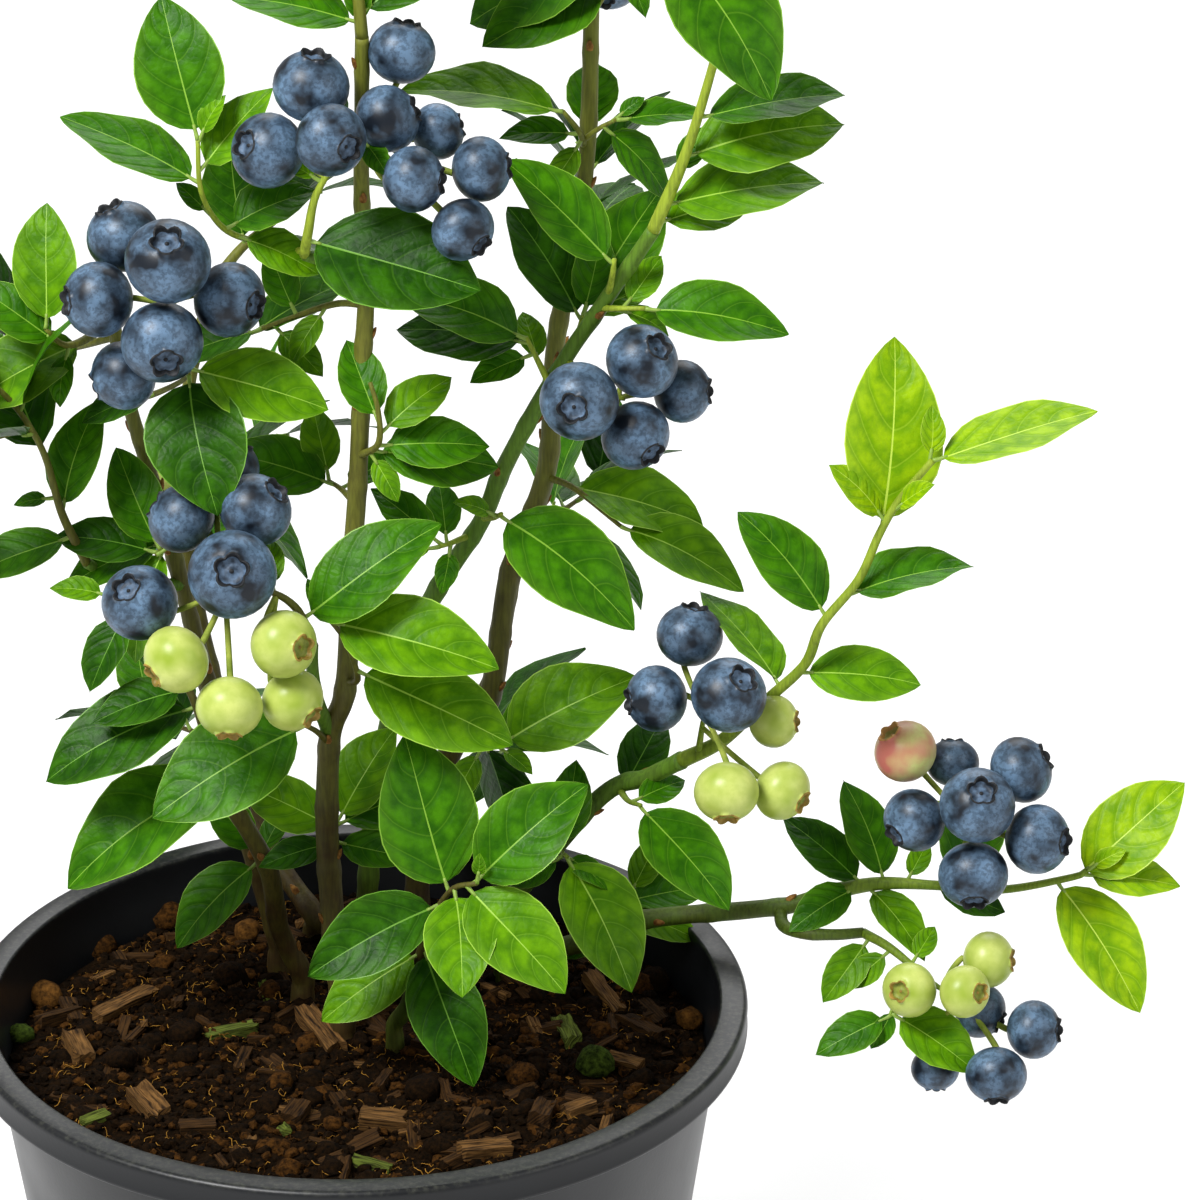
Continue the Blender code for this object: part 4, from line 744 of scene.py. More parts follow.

# %% [markdown]
# ## The soil
# Blueberries stand in an acid mix of composted bark and peat. Seen close, it is
# crumbs and clumps of many sizes, chips of wood split along the grain, and short
# golden fibres. A bumpy disc gives the ground. Small shapes strewn on it give
# the grain, and the few that catch the eye are placed one by one.

# %% Finishes of the soil
def grainy(name, dark, light, grain, roughness=0.95, depth=0.4):
    """A rough natural stuff: two tones in blotches `grain` mm wide, with relief."""
    finish, tree, shader = new_finish(name, Roughness=roughness, Specular_IOR_Level=0.06)
    place = add_node(tree, "TexCoord", out="Object")
    blotch, spread = patches(tree, place, per_metre(grain), 6.0, 0.65, (0.35, 0.65))
    tone = add_node(tree, "Mix", {"data_type": "RGBA", TONE_A: linear(dark),
                                  TONE_B: linear(light)}, {0: spread}, MIXED)
    dress(tree, shader, tone, blotch, 0.7, depth)
    return finish


STREAK_LENGTH = 7.0
STREAK_WIDTH = 0.5


def split_wood(name, dark, light):
    """Wood split along its fibres: streaks run along its own map, laid out in mm."""
    finish, tree, shader = new_finish(name, Roughness=0.85, Specular_IOR_Level=0.1)
    chart = add_node(tree, "TexCoord", out="UV")
    drawn = add_node(tree, "Mapping", {"Scale": (1 / STREAK_LENGTH, 1 / STREAK_WIDTH, 1)},
                     {"Vector": chart})
    streak, spread = patches(tree, drawn, 1.0, 4.0, 0.6, (0.36, 0.62))
    tone = add_node(tree, "Mix", {"data_type": "RGBA", TONE_A: linear(dark),
                                  TONE_B: linear(light)}, {0: spread}, MIXED)
    dress(tree, shader, tone, streak, 0.9, 0.35)
    return finish


peat = grainy("composted peat", "#040200", "#1c1004", 1.4, depth=1.2)
black_bark = grainy("composted bark, black", "#050301", "#1f1205", 1.1, depth=0.9)
brown_bark = grainy("composted bark, brown", "#120902", "#4a2e0f", 1.2, depth=0.9)
nut_bark = grainy("weathered bark nugget", "#2c1b08", "#64421a", 1.8, depth=0.8)
dark_chip = split_wood("split pine bark, dark", "#0e0703", "#412b12")
pale_chip = split_wood("split pine wood, weathered", "#1a1008", "#70502a")
mossy_chip = split_wood("split pine wood under algae", "#1c1c06", "#5f6c28")
moss = grainy("moss", "#141d06", "#43551a", 1.2, depth=0.9)
fibre = grainy("coir fibre", "#5a3a10", "#b88634", 5.0, 0.6)
print(len(bpy.data.materials), "finishes so far")

# %% The ground
SOIL_TOP = 136.0
SOIL_EDGE = 133.5
SOIL_PLATEAU = 58.0
SOIL_BASE = 0.9
SOIL_FALL = 1.6
# Loose crumbs heap up at three sizes: width, layer of the noise, height.
HUMPS = ((15, 5, 2.4), (5, 9, 1.5), (2.3, 3, 0.8))
HUMP_MARGIN = 6
SEAT = 0.3
SOIL_RINGS = 60
edge = outer_radius(SOIL_EDGE) - POT_WALL - SEAT


def soil_height(x, y):
    """Height of the ground, with the hollows and humps of loose crumbs."""
    radius = math.hypot(x, y)
    sink = max(0.0, radius - SOIL_PLATEAU) / (edge - SOIL_PLATEAU)
    humps = sum(noise.noise((x / width, y / width, layer)) * height
                for width, layer, height in HUMPS)
    calm = min(1.0, (edge + 0.1 - radius) / HUMP_MARGIN)
    return SOIL_TOP - SOIL_BASE + humps * calm - SOIL_FALL * sink ** 1.5


section = [(edge * index / SOIL_RINGS, SOIL_TOP) for index in range(SOIL_RINGS + 1)]
section += [(outer_radius(7) - POT_WALL - SEAT, 7),
            (outer_radius(POT_FLOOR) - POT_WALL - 2.6, POT_FLOOR + SEAT), (0, POT_FLOOR + SEAT)]
bm = turned(section, TURNED_SEGMENTS, 0.001)
for vert in bm.verts:
    if vert.co.z > SOIL_TOP - 1:
        vert.co.z = soil_height(vert.co.x, vert.co.y)
to_piece("bark_soil", bm, peat, ["soil"])

# %% Small shapes for the soil
bm = bmesh.new()
bmesh.ops.create_icosphere(bm, subdivisions=1, radius=0.5)
CRUMB = {**pattern_of(bm), "smooth": False}
bm = bmesh.new()
bmesh.ops.create_icosphere(bm, subdivisions=2, radius=0.5)
CLUMP = pattern_of(bm)
STRANDS = 5
bm = bmesh.new()
bmesh.ops.create_cube(bm, size=1)
for axis, cuts in ((0, 4), (1, STRANDS - 2)):
    cut = [e for e in bm.edges if abs(e.verts[0].co[axis] - e.verts[1].co[axis]) > 0.5]
    bmesh.ops.subdivide_edges(bm, edges=cut, cuts=cuts)
CHIP = {**pattern_of(bm), "smooth": False}
print("faces: crumb", len(CRUMB["sizes"]), "clump", len(CLUMP["sizes"]),
      "chip", len(CHIP["sizes"]))


def crumbled(pattern, size, draw, rough):
    """A crumb or clump of the given size, its points thrown about a little."""
    points = pattern["points"] * np.array(size)
    return pattern, points * (1 + rough * (draw.random(points.shape) - 0.5))


def split(size, draw):
    """A chip: strands that end at their own lengths and stand at their own heights."""
    points = CHIP["points"].copy()
    strand = np.rint((points[:, 1] + 0.5) * (STRANDS - 1)).astype(int)
    ragged = draw.uniform(0.82, 1.0, (2, STRANDS))
    points[:, 0] *= ragged[(points[:, 0] > 0).astype(int), strand]
    points[:, 2] += draw.uniform(-0.12, 0.12, STRANDS)[strand]
    points += draw.normal(0, 0.025, points.shape)
    points *= np.array(size)
    chart = np.stack([points[:, 0], points[:, 1] + points[:, 2]], axis=1) + draw.uniform(0, 90, 2)
    return {**CHIP, "chart": chart}, points


def strewn(shape, centre, draw, finish, tilt=0.4, turn=None):
    """A small shape laid on the ground, tilted and turned."""
    pattern, points = shape
    spin = Matrix.Rotation(draw.uniform(0, 2 * math.pi) if turn is None else turn, 3, "Z")
    lean = Matrix.Rotation(draw.uniform(-tilt, tilt), 3, "X") @ Matrix.Rotation(
        draw.uniform(-tilt, tilt), 3, "Y")
    points = points @ np.array(spin @ lean).T + np.array(centre)
    return {**pattern, "finishes": np.full(len(pattern["sizes"]), finish)}, points


def scatter_point(draw, reach):
    """A random place on the ground, evenly over the disc."""
    radius = reach * math.sqrt(draw.random())
    angle = draw.uniform(0, 2 * math.pi)
    x, y = radius * math.cos(angle), radius * math.sin(angle)
    return x, y, soil_height(x, y)


def on_ground(right, rise):
    """The place on the ground that the front view shows at (right, rise)."""
    through = RIM_CENTRE + RIGHT * right + RISE * rise - EYE
    place = EYE + through * ((SOIL_TOP - 1 - EYE.z) / through.z)
    return place.x, place.y, soil_height(place.x, place.y)


# %% Crumbs and clumps
CRUMB_COUNT = 7600
CLUMP_COUNT = 430
# Clumps and nuggets that stand out: place as seen, diameter, finish.
NUGGETS = [(-76, -1, 8.5, 3), (-63, 12, 9, 2), (-46, 18, 9, 2), (-27, 14, 7, 3), (81, -7, 7, 3),
           (-19, -23, 6, 2), (58, -19, 9, 4), (-82, -10, 6.5, 4), (-42, -12, 8, 1), (-31, 2, 8, 1),
           (16, -25, 9, 1), (40, -22, 8, 2), (-6, -33, 5, 2), (72, 2, 8, 1), (-58, -17, 8, 1)]
draw = np.random.default_rng(7)


def strew_lumps(pattern, count, margin, smallest, more, power, longest, tallest, rough, lift,
                shares):
    """Lumps strewn evenly over the ground; a higher power makes more of them small."""
    lumps = []
    for _ in range(count):
        x, y, z = scatter_point(draw, edge - margin)
        size = smallest + more * draw.random() ** power
        shape = crumbled(pattern, (size * draw.uniform(1, longest), size,
                                   size * draw.uniform(0.6, tallest)), draw, rough)
        lumps.append(strewn(shape, (x, y, z + size * lift), draw, int(draw.choice(3, p=shares))))
    return lumps


crumbs = strew_lumps(CRUMB, CRUMB_COUNT, margin=0.8, smallest=0.7, more=2.6, power=3, longest=1.7,
                     tallest=1, rough=0.5, lift=0.15, shares=(0.40, 0.34, 0.26))
joined("soil_crumbs", crumbs, [peat, black_bark, brown_bark])
clumps = strew_lumps(CLUMP, CLUMP_COUNT, margin=4, smallest=2.5, more=4.5, power=2, longest=1.4,
                     tallest=0.9, rough=0.62, lift=0.05, shares=(0.45, 0.37, 0.18))
for right, rise, size, finish in NUGGETS:
    x, y, z = on_ground(right, rise)
    shape = crumbled(CLUMP, (size * 1.1, size, size * 0.8), draw, 0.40)
    clumps.append(strewn(shape, (x, y, z + size * 0.25), draw, finish))
joined("soil_clumps", clumps, [peat, black_bark, brown_bark, nut_bark, moss])

# %% Wood chips
CHIP_COUNT = 170
# Chips that stand out: place as seen, length, width, thickness, heading, finish.
CHIPS = [(-57, -3, 25, 4, 3.5, 58, 1), (-68, -15, 11, 5, 4, 115, 1),
         (-51, -28, 13, 5.5, 4.5, 122, 1),
         (-9, -11, 20, 5, 4, 118, 1), (6, -33, 12, 4.5, 4, 0, 1), (31, -40, 13, 4.5, 3, 18, 1),
         (65, -18, 10, 4, 3, 150, 1), (-31, -10, 14, 4, 3, 25, 2), (51, -10, 13, 4.5, 3, 105, 2),
         (60, -1, 18, 4, 3, 118, 1), (69, -9, 16, 5, 3, 125, 0), (-64, -31, 8, 3, 2, 40, 2),
         (-73, -6, 14, 3, 3, 50, 0), (-15, -30, 8, 5, 4, 70, 0), (19, -15, 12, 6, 4, 165, 0),
         (45, -30, 11, 5, 4, 80, 0), (-39, -33, 9, 4, 3, 10, 0), (54, -30, 8, 4, 3, 30, 1)]
SETTLED_TILT = 0.18
chips = []
for _ in range(CHIP_COUNT):
    x, y, z = scatter_point(draw, edge - 6)
    length = draw.uniform(4, 12)
    shape = split((length, length * draw.uniform(0.2, 0.42), length * draw.uniform(0.12, 0.25)),
                  draw)
    chips.append(strewn(shape, (x, y, z + 0.5), draw, int(draw.choice(3, p=(0.85, 0.12, 0.03)))))
for right, rise, length, width, thickness, heading, finish in CHIPS:
    x, y, z = on_ground(right, rise)
    shape = split((length, width, thickness), draw)
    chips.append(strewn(shape, (x, y, z + thickness * 0.45), draw, finish, SETTLED_TILT,
                        math.radians(heading)))
joined("wood_chips", chips, [dark_chip, pale_chip, mossy_chip])

# %% Fibres
FIBRE_COUNT = 1500
FIBRE_STEP = 0.8
FIBRE_GIRTH = (0.04, 0.10)
fibres = []
for _ in range(FIBRE_COUNT):
    x, y, z = scatter_point(draw, edge - 4)
    heading = draw.uniform(0, 2 * math.pi)
    points = []
    for step in range(int(draw.integers(3, 8))):
        points.append(Vector((x, y, soil_height(x, y) + 0.5 + 1.1 * draw.random())))
        heading += draw.normal(0, 0.6)
        x += math.cos(heading) * FIBRE_STEP
        y += math.sin(heading) * FIBRE_STEP
        if math.hypot(x, y) > edge - 1.5:
            break
    if len(points) > 2:
        girth = draw.uniform(*FIBRE_GIRTH)
        fibres.append(tube(points, [girth] * len(points), 5, int(draw.random() < 0.55)))
joined("soil_fibres", fibres, [fibre, brown_bark])

# %% [markdown]
# ## Canes and boughs
#
# A blueberry cane is slim and woody. Its bark is brown and finely fissured at the
# foot, and olive to yellow-green where it is young. It swells a little at each
# bud. A curve with a bevel would be smooth, so each limb is a tube of many
# rings, and every point of a ring gets its own radius.

# %% Bark
MOTTLE_SIZE = 7.0
FISSURE_WIDTH = 0.7


def bark(name, old, young, low, high):
    """Bark that goes from its old to its young colour between two heights in mm."""
    finish, tree, shader = new_finish(name, Roughness=0.6, Specular_IOR_Level=0.3)
    place = add_node(tree, "TexCoord", out="Object")
    height = add_node(tree, "SeparateXYZ", None, {"Vector": place}, "Z")
    age = add_node(tree, "MapRange", {"From Min": low * MM, "From Max": high * MM},
                   {"Value": height})
    mottle = add_node(tree, "TexNoise", {"Scale": per_metre(MOTTLE_SIZE), "Detail": 5.0},
                      {"Vector": place})
    shift = add_node(tree, "Math", {"operation": "MULTIPLY_ADD", 1: 0.9, 2: -0.45}, {0: mottle})
    youth = add_node(tree, "Math", {"operation": "ADD", "use_clamp": True}, {0: age, 1: shift})
    tone = add_node(tree, "Mix", {"data_type": "RGBA", TONE_A: linear(old),
                                  TONE_B: linear(young)}, {0: youth}, MIXED)
    # Fissures run along the cane: a noise drawn out ten times in height.
    drawn = add_node(tree, "Mapping", {"Scale": (1, 1, 0.1)}, {"Vector": place})
    fissure, shade = patches(tree, drawn, per_metre(FISSURE_WIDTH), 3.0, 0.5, (0.3, 0.6),
                             (0.62, 1))
    shaded = add_node(tree, "Mix", {"data_type": "RGBA", "blend_type": "MULTIPLY", 0: 1.0},
                      {TONE_A: tone, TONE_B: shade}, MIXED)
    dress(tree, shader, shaded, fissure, 0.6, 0.25)
    return finish


woody = bark("bark of a bearing cane", "#3f2f10", "#6f7422", 130, 360)
greening = bark("bark of a young cane", "#40380f", "#567a1a", 120, 200)
shoot = bark("skin of a green shoot", "#66801a", "#93a62c", 150, 330)
bud_scales = grainy("scales of a winter bud", "#57351a", "#9a7038", 1.5, 0.5, 0.1)
print("bark:", [each.name for each in (woody, greening, shoot, bud_scales)])

# %% Taper and relief of a limb
FLARE = 1.35
FLARE_HEIGHT = 12.0
LIMB_SIDES = 16
RING_STEP = 1.4
NODE_SPACING = 17.0
SWELL = 0.10
SWELL_LENGTH = 1.8
RIDGE = 0.10
RIDGE_COUNT = 2.2
RIDGE_DRIFT = 0.055


def tapered(points, start, end, foot=False):
    """Radii along a course, from two diameters; a cane swells into its foot."""
    radii = []
    run = 0.0
    for index, point in enumerate(points):
        if index:
            run += (point - points[index - 1]).length
        radius = (start + (end - start) * index / (len(points) - 1)) / 2
        if foot:
            radius *= 1 + (FLARE - 1) * max(0.0, 1 - run / FLARE_HEIGHT) ** 2
        radii.append(radius)
    return radii


def bark_relief(radii, seed):
    """Radii per point and side: ridges along the limb, and a swelling at each bud."""
    rows = []
    turns = [2 * math.pi * side / LIMB_SIDES for side in range(LIMB_SIDES)]
    for index, radius in enumerate(radii):
        run = index * RING_STEP
        bud = abs((run + NODE_SPACING / 2) % NODE_SPACING - NODE_SPACING / 2)
        swollen = radius * (1 + SWELL * math.exp(-(bud / SWELL_LENGTH) ** 2))
        rows.append([swollen * (1 + RIDGE * noise.noise(
            (RIDGE_COUNT * math.cos(turn), RIDGE_COUNT * math.sin(turn),
             run * RIDGE_DRIFT + seed))) for turn in turns])
    return rows


# %% Buds
bm = bmesh.new()
bmesh.ops.create_uvsphere(bm, u_segments=8, v_segments=6, radius=1)
for vert in bm.verts:
    vert.co.x *= 1 - 0.45 * vert.co.z
    vert.co.y *= 0.8 - 0.35 * vert.co.z
BUD = pattern_of(bm)
BUD_LENGTH = 1.9
BUD_WIDTH = 0.95
bud_copies = []


def add_buds(points, radii, first):
    """A bud above each leaf scar, one every node, climbing by the golden angle."""
    _, across, other = rings_along(points)
    step = round(NODE_SPACING / RING_STEP)
    for number, index in enumerate(range(step + 3, len(points) - 2, step)):
        turn = math.radians(first + number * GOLDEN_ANGLE)
        out = Vector(across[index] * math.cos(turn) + other[index] * math.sin(turn))
        along = (points[index + 1] - points[index]).normalized()
        side = along.cross(out)
        tip = (along * 0.90 + out * 0.44).normalized()
        axes = np.array((side.normalized() * BUD_WIDTH, tip.cross(side).normalized() * BUD_WIDTH,
                         tip * BUD_LENGTH))
        centre = np.array(points[index] + out * (radii[index] * 0.95) + along * 0.8)
        bud_copies.append((BUD, BUD["points"] @ axes + centre))


# %% Grow the canes and the boughs
FOOT_DEPTH = 6.0
YOUNG_CANES = ("cane_d", "cane_e", "cane_f", "cane_g")
limbs = {}


def grow_limb(name, points, radii, finish, seed):
    """Keep a limb's course and radii, and make its bark."""
    limbs[name] = (points, radii)
    joined(name + "_bark", [tube(points, bark_relief(radii, seed), LIMB_SIDES)], [finish],
           [name])


for number, (name, (foot, course, start, end)) in enumerate(CANES.items()):
    ground = Vector((*foot, SOIL_TOP))
    points = smooth([ground - UP * FOOT_DEPTH, ground + UP * 3, ground + UP * 7]
                    + [seen(*p) for p in course], RING_STEP)
    radii = tapered(points, start, end, True)
    grow_limb(name, points, radii, greening if name in YOUNG_CANES else woody, number * 9)
    add_buds(points, radii, number * 70)
for number, (name, (_, course, start, end)) in enumerate(BOUGHS.items()):
    points = smooth([seen(*p) for p in course], RING_STEP)
    grow_limb(name, points, tapered(points, start, end), greening, number * 9 + 100)
joined("buds", bud_copies, [bud_scales])

# %% [markdown]
# ## Leaves
#
# A blueberry leaf is a smooth oval, 25 to 45 mm long, folded a little along its
# midrib and arched. Side veins leave the midrib in pairs and sink into the upper
# face. The margin is a thin pale line. One leaf is modelled flat, as a grid whose
# columns follow midrib and margin. Each copy is then bent to its own shape.
# The midrib and margin are faces with their own finish. The side veins are drawn
# by the material along the leaf's UV map, so each leaf needs few faces.

# %% Leaf pattern
MIDRIB = 0.05
MARGIN = 0.975


def leaf_pattern(columns, rows):
    """A flat leaf of unit size: x from base to tip, y from -1 to 1 across."""
    bm = bmesh.new()
    bmesh.ops.create_grid(bm, x_segments=len(rows) - 1, y_segments=len(columns) - 1, size=1)
    for vert in bm.verts:
        along = round((vert.co.x + 1) / 2 * (len(rows) - 1))
        across = round((vert.co.y + 1) / 2 * (len(columns) - 1))
        vert.co = (rows[along], columns[across], 0)
    for face in bm.faces:
        middle = abs(face.calc_center_median().y)
        face.material_index = int(middle < MIDRIB or middle > MARGIN)
    pattern = pattern_of(bm)
    x, y, _ = pattern["points"].T
    pattern["chart"] = np.stack([y / 2 + 0.5, x], axis=1)
    return pattern


LARGE_LEAF = leaf_pattern((-1, -MARGIN, -0.7, -0.38, -MIDRIB, MIDRIB, 0.38, 0.7, MARGIN, 1),
                          (0, 0.03, 0.09, 0.17, 0.27, 0.38, 0.49, 0.60, 0.70, 0.80, 0.88, 0.95, 1))
SMALL_LEAF = leaf_pattern((-1, -MARGIN, -0.5, -MIDRIB, MIDRIB, 0.5, MARGIN, 1),
                          (0, 0.08, 0.22, 0.38, 0.54, 0.70, 0.86, 1))
print("faces in a leaf:", len(LARGE_LEAF["sizes"]), "large,", len(SMALL_LEAF["sizes"]), "small")

# %% Leaf finishes
# For each age, and for the shaded tone that paints shade on leaves at the back: the light and the
# deep green of the blade, and its pale midrib.
LEAF_TONES = {
    "mature": ("#2c5c02", "#153b01", "#5c8c24"),
    "full": ("#3c7402", "#225201", "#74a02c"),
    "fresh": ("#5e9004", "#3c6c02", "#8eb63c"),
    "young": ("#8caf04", "#5e8a02", "#b0cb46"),
    "shaded": ("#245203", "#133602", "#4a7622")}
VEIN_PAIRS = 5.2
VEIN_SWEEP = 0.34
VEIN_BOW = 1.6
VEIN_STRAY = 22.0
VEIN_SHOW = 0.34
PATCH_SIZE = 4.5
NET_SIZE = 1.8
EASED = {"interpolation_type": "SMOOTHSTEP"}


def leaf_finish(age, light, deep, vein):
    """Cuticle over green tissue: satin gloss, side veins sunk, fine net between."""
    finish, tree, shader = new_finish(age + " leaf", Roughness=0.40, IOR=1.45,
                                      Specular_IOR_Level=0.11)
    place = add_node(tree, "TexCoord", out="Object")
    chart = add_node(tree, "TexCoord", out="UV")
    across, along = (add_node(tree, "SeparateXYZ", None, {"Vector": chart}, axis) for axis in "XY")
    # Distance from the midrib, 0 to 1, swept forward so that the veins rise to the tip.
    centred = add_node(tree, "Math", {"operation": "MULTIPLY_ADD", 1: 2.0, 2: -1.0}, {0: across})
    aside = add_node(tree, "Math", {"operation": "ABSOLUTE"}, {0: centred})
    bowed = add_node(tree, "Math", {"operation": "POWER", 1: VEIN_BOW}, {0: aside})
    swept = add_node(tree, "Math", {"operation": "MULTIPLY_ADD", 1: -VEIN_SWEEP},
                     {0: bowed, 2: along})
    stray = add_node(tree, "TexNoise", {"Scale": per_metre(VEIN_STRAY), "Detail": 1.0},
                     {"Vector": place})
    phase = add_node(tree, "Math", {"operation": "MULTIPLY_ADD", 1: VEIN_PAIRS},
                     {0: swept, 2: stray})
    cell = add_node(tree, "Math", {"operation": "PINGPONG", 1: 0.5}, {0: phase})
    # The pillow shapes the relief, and it also paints shade into the colour along the veins.
    pillow = add_node(tree, "MapRange", {**EASED, "From Max": 0.30, "To Min": 0.25},
                      {"Value": cell})
    line = add_node(tree, "MapRange", {**EASED, "From Min": 0.045, "From Max": 0.008},
                    {"Value": cell})
    spread = patches(tree, place, per_metre(PATCH_SIZE), 4.0, 0.5, (0.35, 0.65))[1]
    # Random patches vary the green, and painted shade darkens it towards the sunk side veins, so it
    # is palest midway between two of them.
    swollen = add_node(tree, "Math", {"operation": "MULTIPLY"}, {0: spread, 1: pillow})
    tissue = add_node(tree, "Mix", {"data_type": "RGBA", TONE_A: linear(deep),
                                    TONE_B: linear(light)}, {0: swollen}, MIXED)
    pale = [0.55 * a + 0.45 * b for a, b in zip(linear(light), linear(vein))]
    faint = add_node(tree, "Math", {"operation": "MULTIPLY", 1: VEIN_SHOW}, {0: line})
    veined = add_node(tree, "Mix", {"data_type": "RGBA", TONE_B: pale},
                      {0: faint, TONE_A: tissue}, MIXED)
    # The blade thins towards its margin, where light comes through yellow-green.
    thin = add_node(tree, "MapRange", {**EASED, "From Min": 0.55, "To Max": 0.14},
                    {"Value": aside})
    edged = add_node(tree, "Mix", {"data_type": "RGBA", TONE_B: linear(vein)},
                     {0: thin, TONE_A: veined}, MIXED)
    # A net of veinlets lies between the side veins.
    net = add_node(tree, "TexVoronoi", {"feature": "DISTANCE_TO_EDGE",
                                        "Scale": per_metre(NET_SIZE)}, {"Vector": place},
                   "Distance")
    height = add_node(tree, "Math", {"operation": "MULTIPLY_ADD", 1: 0.9}, {0: net, 2: pillow})
    dress(tree, shader, edged, height, 0.55, 0.30)
    return finish


LEAF_FINISHES = []
for age, (light, deep, vein) in LEAF_TONES.items():
    LEAF_FINISHES.append(leaf_finish(age, light, deep, vein))
    rib, _, shader = new_finish(age + " midrib", Roughness=0.45, Specular_IOR_Level=0.3)
    shader.inputs["Base Color"].default_value = linear(vein)
    LEAF_FINISHES.append(rib)
LEAF_TONE_NAMES = list(LEAF_TONES)
print("leaf ages:", LEAF_TONE_NAMES)

# %% Where a leaf points
CROWN_AXIS = Vector((10, 30, 0))


def aimed(bearing, lean):
    """The direction that is seen at `bearing` degrees and leans near by `lean`."""
    turn, tilt = math.radians(bearing), math.radians(lean)
    flat = (RIGHT * math.cos(turn) + RISE * math.sin(turn)) * math.cos(tilt)
    return flat + NEAR * math.sin(tilt)


def facing(direction, wish):
    """The normal of a blade that points along `direction` and turns to the wish."""
    across = wish - direction * wish.dot(direction)
    if across.length < 0.2:
        across = UP - direction * UP.dot(direction) + RIGHT * 0.1
        across -= direction * across.dot(direction)
    return across.normalized()


def leaf_pose(spec, course):
    """Base, direction and face of a leaf on its twig."""
    base, along = point_at(course, spec["share"])
    outward = base - CROWN_AXIS
    outward.z = 0
    outward = outward.normalized()
    if "bearing" in spec:
        direction = aimed(spec["bearing"], spec["lean"])
        wish = NEAR * 0.62 + UP * 0.62 + outward * 0.25
    else:
        across = facing(along, UP)
        spin = Matrix.Rotation(math.radians(spec["turn"]), 3, along)
        spread = math.radians(spec["spread"])
        direction = along * math.cos(spread) + spin @ across * math.sin(spread)
        wish = UP * 0.85 + outward * 0.45
    direction = direction.normalized()
    return base, direction, facing(direction, wish.normalized())


# %% Bend one leaf to shape
PETIOLE = 2.4
OVERSIZE = 1.05
LEAF_ARCH = 0.28
FULLNESS = 1.12
OUTLINE = (0.62, 0.86)
NARROW = 0.46
LARGE_LENGTH = 24
RIB_WIDTH = 0.0068
RIB_DEPTH = 0.0088
WAVES = 2


def roll_to_narrow(direction, face, share):
    """The turn about its midrib that makes a leaf look `share` as wide from the front."""
    across = NEAR.cross(direction).normalized()
    own = math.atan2(face.dot(across), face.cross(direction).dot(across))
    wanted = math.acos(min(1.0, share * math.cos(own)))
    turns = [math.remainder(own + sign * wanted, 2 * math.pi) for sign in (1, -1)]
    return min(turns, key=abs)


def bent_leaf(base, direction, face, spec, age, draw):
    """A leaf of its own size, fold, arch, twist and wave, laid on its twig."""
    length = spec["length"] * OVERSIZE - PETIOLE
    breadth = max(spec["breadth"], LEAF_BREADTH) * FULLNESS * draw.uniform(0.95, 1.04)
    rolled = 0.0
    if spec["breadth"] < NARROW:
        rolled = roll_to_narrow(direction, face, spec["breadth"] / LEAF_BREADTH)
    pattern = LARGE_LEAF if length > LARGE_LENGTH and "bearing" in spec else SMALL_LEAF
    along, across = pattern["points"][:, 0], pattern["points"][:, 1]
    # The blade's half width, with the midrib's own width in its middle.
    rise, fall = OUTLINE
    widest = rise / (rise + fall)
    outline = (along / widest) ** rise * ((1 - along) / (1 - widest)) ** fall
    half = breadth * length / 2 * outline
    rib = np.minimum(half, RIB_WIDTH * length * (1.05 - 0.85 * along))
    aside = np.abs(across)
    width = np.where(aside <= MIDRIB, rib, rib + (half - rib) * (aside - MIDRIB) / (1 - MIDRIB))
    # What sets this leaf apart from the others.
    fold = draw.uniform(0.10, 0.38)
    wave = draw.uniform(0.004, 0.020) * length
    phase = draw.uniform(0, 2 * math.pi)
    bend = draw.uniform(-0.16, 0.16)
    arch = LEAF_ARCH * draw.uniform(0.65, 1.15)
    droop = draw.uniform(-0.02, 0.07)
    twist = rolled + draw.uniform(-0.35, 0.35) * (along - 0.3)
    x = PETIOLE + length * along
    y = np.sign(across) * width
    z = fold * np.abs(y) - 0.25 * fold * y * y / (breadth * length / 2)
    z = z + wave * aside ** 2 * np.sin(2.2 * math.pi * along * WAVES + phase + np.sign(across))
    z = z - RIB_DEPTH * length * (aside <= MIDRIB) * (1 - along)
    turned_y = y * np.cos(twist) - z * np.sin(twist)
    z = y * np.sin(twist) + z * np.cos(twist)
    y = turned_y + bend * length * along * along * (1 - 0.4 * along)
    z = z + arch * length * along * (1 - along) - droop * length * along ** 3
    points = (np.array(base) + x[:, None] * np.array(direction)
              + y[:, None] * np.array(face.cross(direction)) + z[:, None] * np.array(face))
    return {**pattern, "finishes": pattern["finishes"] + 2 * LEAF_TONE_NAMES.index(age)}, points


# %% Age of each leaf, and painted shade at the back
# New growth is yellow-green and sits at the tips. Leaves at the back of the crown often get the
# shaded tone, a darker green that paints shade on them.
YOUNG_FROM = {"spray_e": 0.78, "spray_f": 0.86}
FRESH_SPRAYS = ("spray_d", "leaves_b_top", "leaves_h_left")
BACK_OF_CROWN = -48
BUD_LEAF = 17


def age_or_shade_of(spray, spec, near, draw):
    """The age of a leaf, or the painted shade tone at the back, from its spray and its place on it.
    """
    share = spec["share"]
    if share >= YOUNG_FROM.get(spray, 2):
        return "young"
    if spray in FRESH_SPRAYS or (spray == "spray_g" and share > 0.9):
        return draw.choice(["fresh", "full"])
    # Painted shade: at the back, the shaded tone, a darker copy of the green, comes up one time in
    # three.
    if near < BACK_OF_CROWN:
        return draw.choice(["shaded", "mature", "full"])
    if spec["length"] < BUD_LEAF:
        return draw.choice(["fresh", "full"])
    return draw.choice(["mature", "full", "full", "fresh"])


# %% [markdown]
# ## Berries
#
# A blueberry is a little flat, like a tangerine, and ends in a five-pointed
# collar round a sunken disc. It could be a sphere with a dent, but the collar is
# what makes it a blueberry, so a full section is spun, and its rim is then drawn
# out into five lobes.

# %% Berry pattern
BERRY_SEGMENTS = 30
FLATNESS = 0.90
LOBE_HEIGHT = 0.045
LOBE_REACH = 0.17
